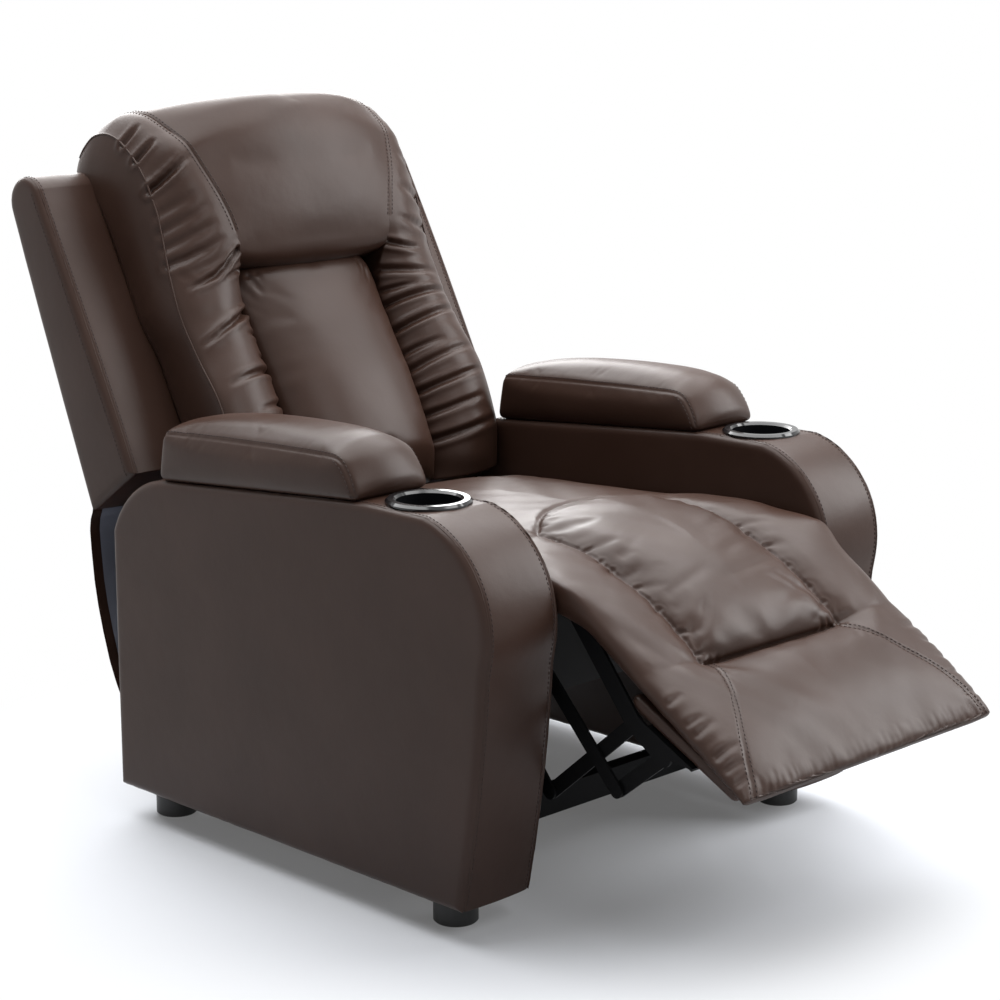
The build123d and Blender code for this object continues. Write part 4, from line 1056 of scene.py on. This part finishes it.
def skirt():
    cover = skirt_sheet("skirt_cover", 0.0, HIDE, 367)
    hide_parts("rear_skirt")
    skirt_sheet("skirt_lining", 2.0, LINING, 351)


# Room

def mixed(tree, share, first, second):
    """Mix of two shaders, with the given share of the second."""
    mix = add_node(tree, "ShaderNodeMixShader", Fac=share)
    tree.links.new(first.outputs[0], mix.inputs[1])
    tree.links.new(second.outputs[0], mix.inputs[2])
    return mix.outputs[0]


def combined(tree, operation, first, second):
    """Two shares added or multiplied, up to 1."""
    node = add_node(tree, "ShaderNodeMath", Value=first)
    node.operation, node.use_clamp = operation, True
    tree.links.new(second, node.inputs[1])
    return node.outputs[0]


def seen_directly(tree):
    """1 for what the camera sees, straight or mirrored or through glass, and 0 for light on its way."""
    path = add_node(tree, "ShaderNodeLightPath")
    total = path.outputs["Is Camera Ray"]
    for kind in ("Is Glossy Ray", "Is Transmission Ray"):
        total = combined(tree, "ADD", total, path.outputs[kind])
    return total


def studio_world():
    """White to look at, with only a little light of its own."""
    world = bpy.data.worlds.new("studio")
    bpy.context.scene.world = world
    world.use_nodes = True
    tree = world.node_tree
    tree.nodes.clear()
    light = add_node(tree, "ShaderNodeBackground", Color=(0.95, 0.97, 1, 1), Strength=0.07)
    seen = add_node(tree, "ShaderNodeBackground", Color=(1, 1, 1, 1))
    add_node(tree, "ShaderNodeOutputWorld", Surface=mixed(tree, seen_directly(tree), light, seen))


def studio_floor():
    """Pale floor that keeps the chair's shadow and turns plain white away from it."""
    mesh = bpy.data.meshes.new("floor")
    mesh.from_pydata([(-30, -30, 0), (30, -30, 0), (30, 30, 0), (-30, 30, 0)], [], [(0, 1, 2, 3)])
    mat, tree, shader = principled("floor_white", (0.62, 0.64, 0.68), 0.9, Specular_IOR_Level=0.1)
    white = add_node(tree, "ShaderNodeEmission", Color=(1, 1, 1, 1))
    reach = add_node(tree, "ShaderNodeVectorMath", Vector=own_place(tree))
    reach.operation = "LENGTH"
    far = add_node(tree, "ShaderNodeMapRange", Value=reach.outputs["Value"],
                   From_Min=0.5, From_Max=1.0, To_Min=0.12, To_Max=1.0)
    far.interpolation_type = "SMOOTHSTEP"
    share = combined(tree, "MULTIPLY", far.outputs["Result"], seen_directly(tree))
    wire(tree, tree.nodes["Material Output"], Surface=mixed(tree, share, shader, white))
    floor = add_object("floor", mesh, mat)


def aimed(name, data, place, direction):
    """Lamp or camera at a place, looking in a direction."""
    obj = bpy.data.objects.new(name, data)
    obj.location = place
    obj.rotation_mode = "QUATERNION"
    obj.rotation_quaternion = Vector(direction).to_track_quat("-Z", "Y")
    bpy.context.scene.collection.objects.link(obj)
    return obj


def panel_light(name, place, target, size, power):
    data = bpy.data.lights.new(name, "AREA")
    data.shape, data.size, data.size_y, data.energy = "RECTANGLE", size[0], size[1], power
    aimed(name, data, place, Vector(target) - Vector(place))


CAMERA_PLACE = (-2474, -2515, 1252)
CAMERA_AZIMUTH, CAMERA_ELEVATION = math.radians(-44.869), math.radians(12.528)


def room():
    """World, floor, lamps and the camera of the photo."""
    scene = bpy.context.scene
    scene.view_settings.view_transform = "Standard"
    studio_world()
    studio_floor()
    panel_light("top", (0.3, 0.5, 3.1), (0, -0.1, 0.4), (4.6, 3.2), 235)
    panel_light("right", (2.5, -1.8, 2.1), (0, 0, 0.6), (2.2, 2.2), 105)
    panel_light("left", (-3.2, -1.6, 2.2), (0, 0, 0.4), (2.0, 2.0), 3)
    panel_light("front", (-0.3, -2.7, 2.7), (0, 0.2, 0.7), (1.6, 1.2), 26)
    panel_light("rear", (1.2, 2.8, 2.2), (0, 0, 0.8), (2.8, 2.0), 125)

    data = bpy.data.cameras.new("camera")
    data.lens, data.sensor_width = 90.0, 36.0
    level = math.cos(CAMERA_ELEVATION)
    ahead = (-math.sin(CAMERA_AZIMUTH) * level, math.cos(CAMERA_AZIMUTH) * level, -math.sin(CAMERA_ELEVATION))
    scene.camera = aimed("camera", data, to_row(CAMERA_PLACE), ahead)


room()
for which in (-1, 1):
    arm_skin(which)
    arm_pad(which)
    wing(which)
rear_panel()
head, head_seams = head_roll()
skins = [head] + [bolster(which) for which in (-1, 1)]
for skin in skins:
    press(skin, [(seam, 0.7, 2.2, False) for seam in head_seams])
rows = [seam + (offset, 0, 0) for seam in head_seams for offset in (-5.0, 5.0)]
stitches("head_stitches", rows, surface(*skins), "back")
lumbar()
chaise()
footboard()
skirt()
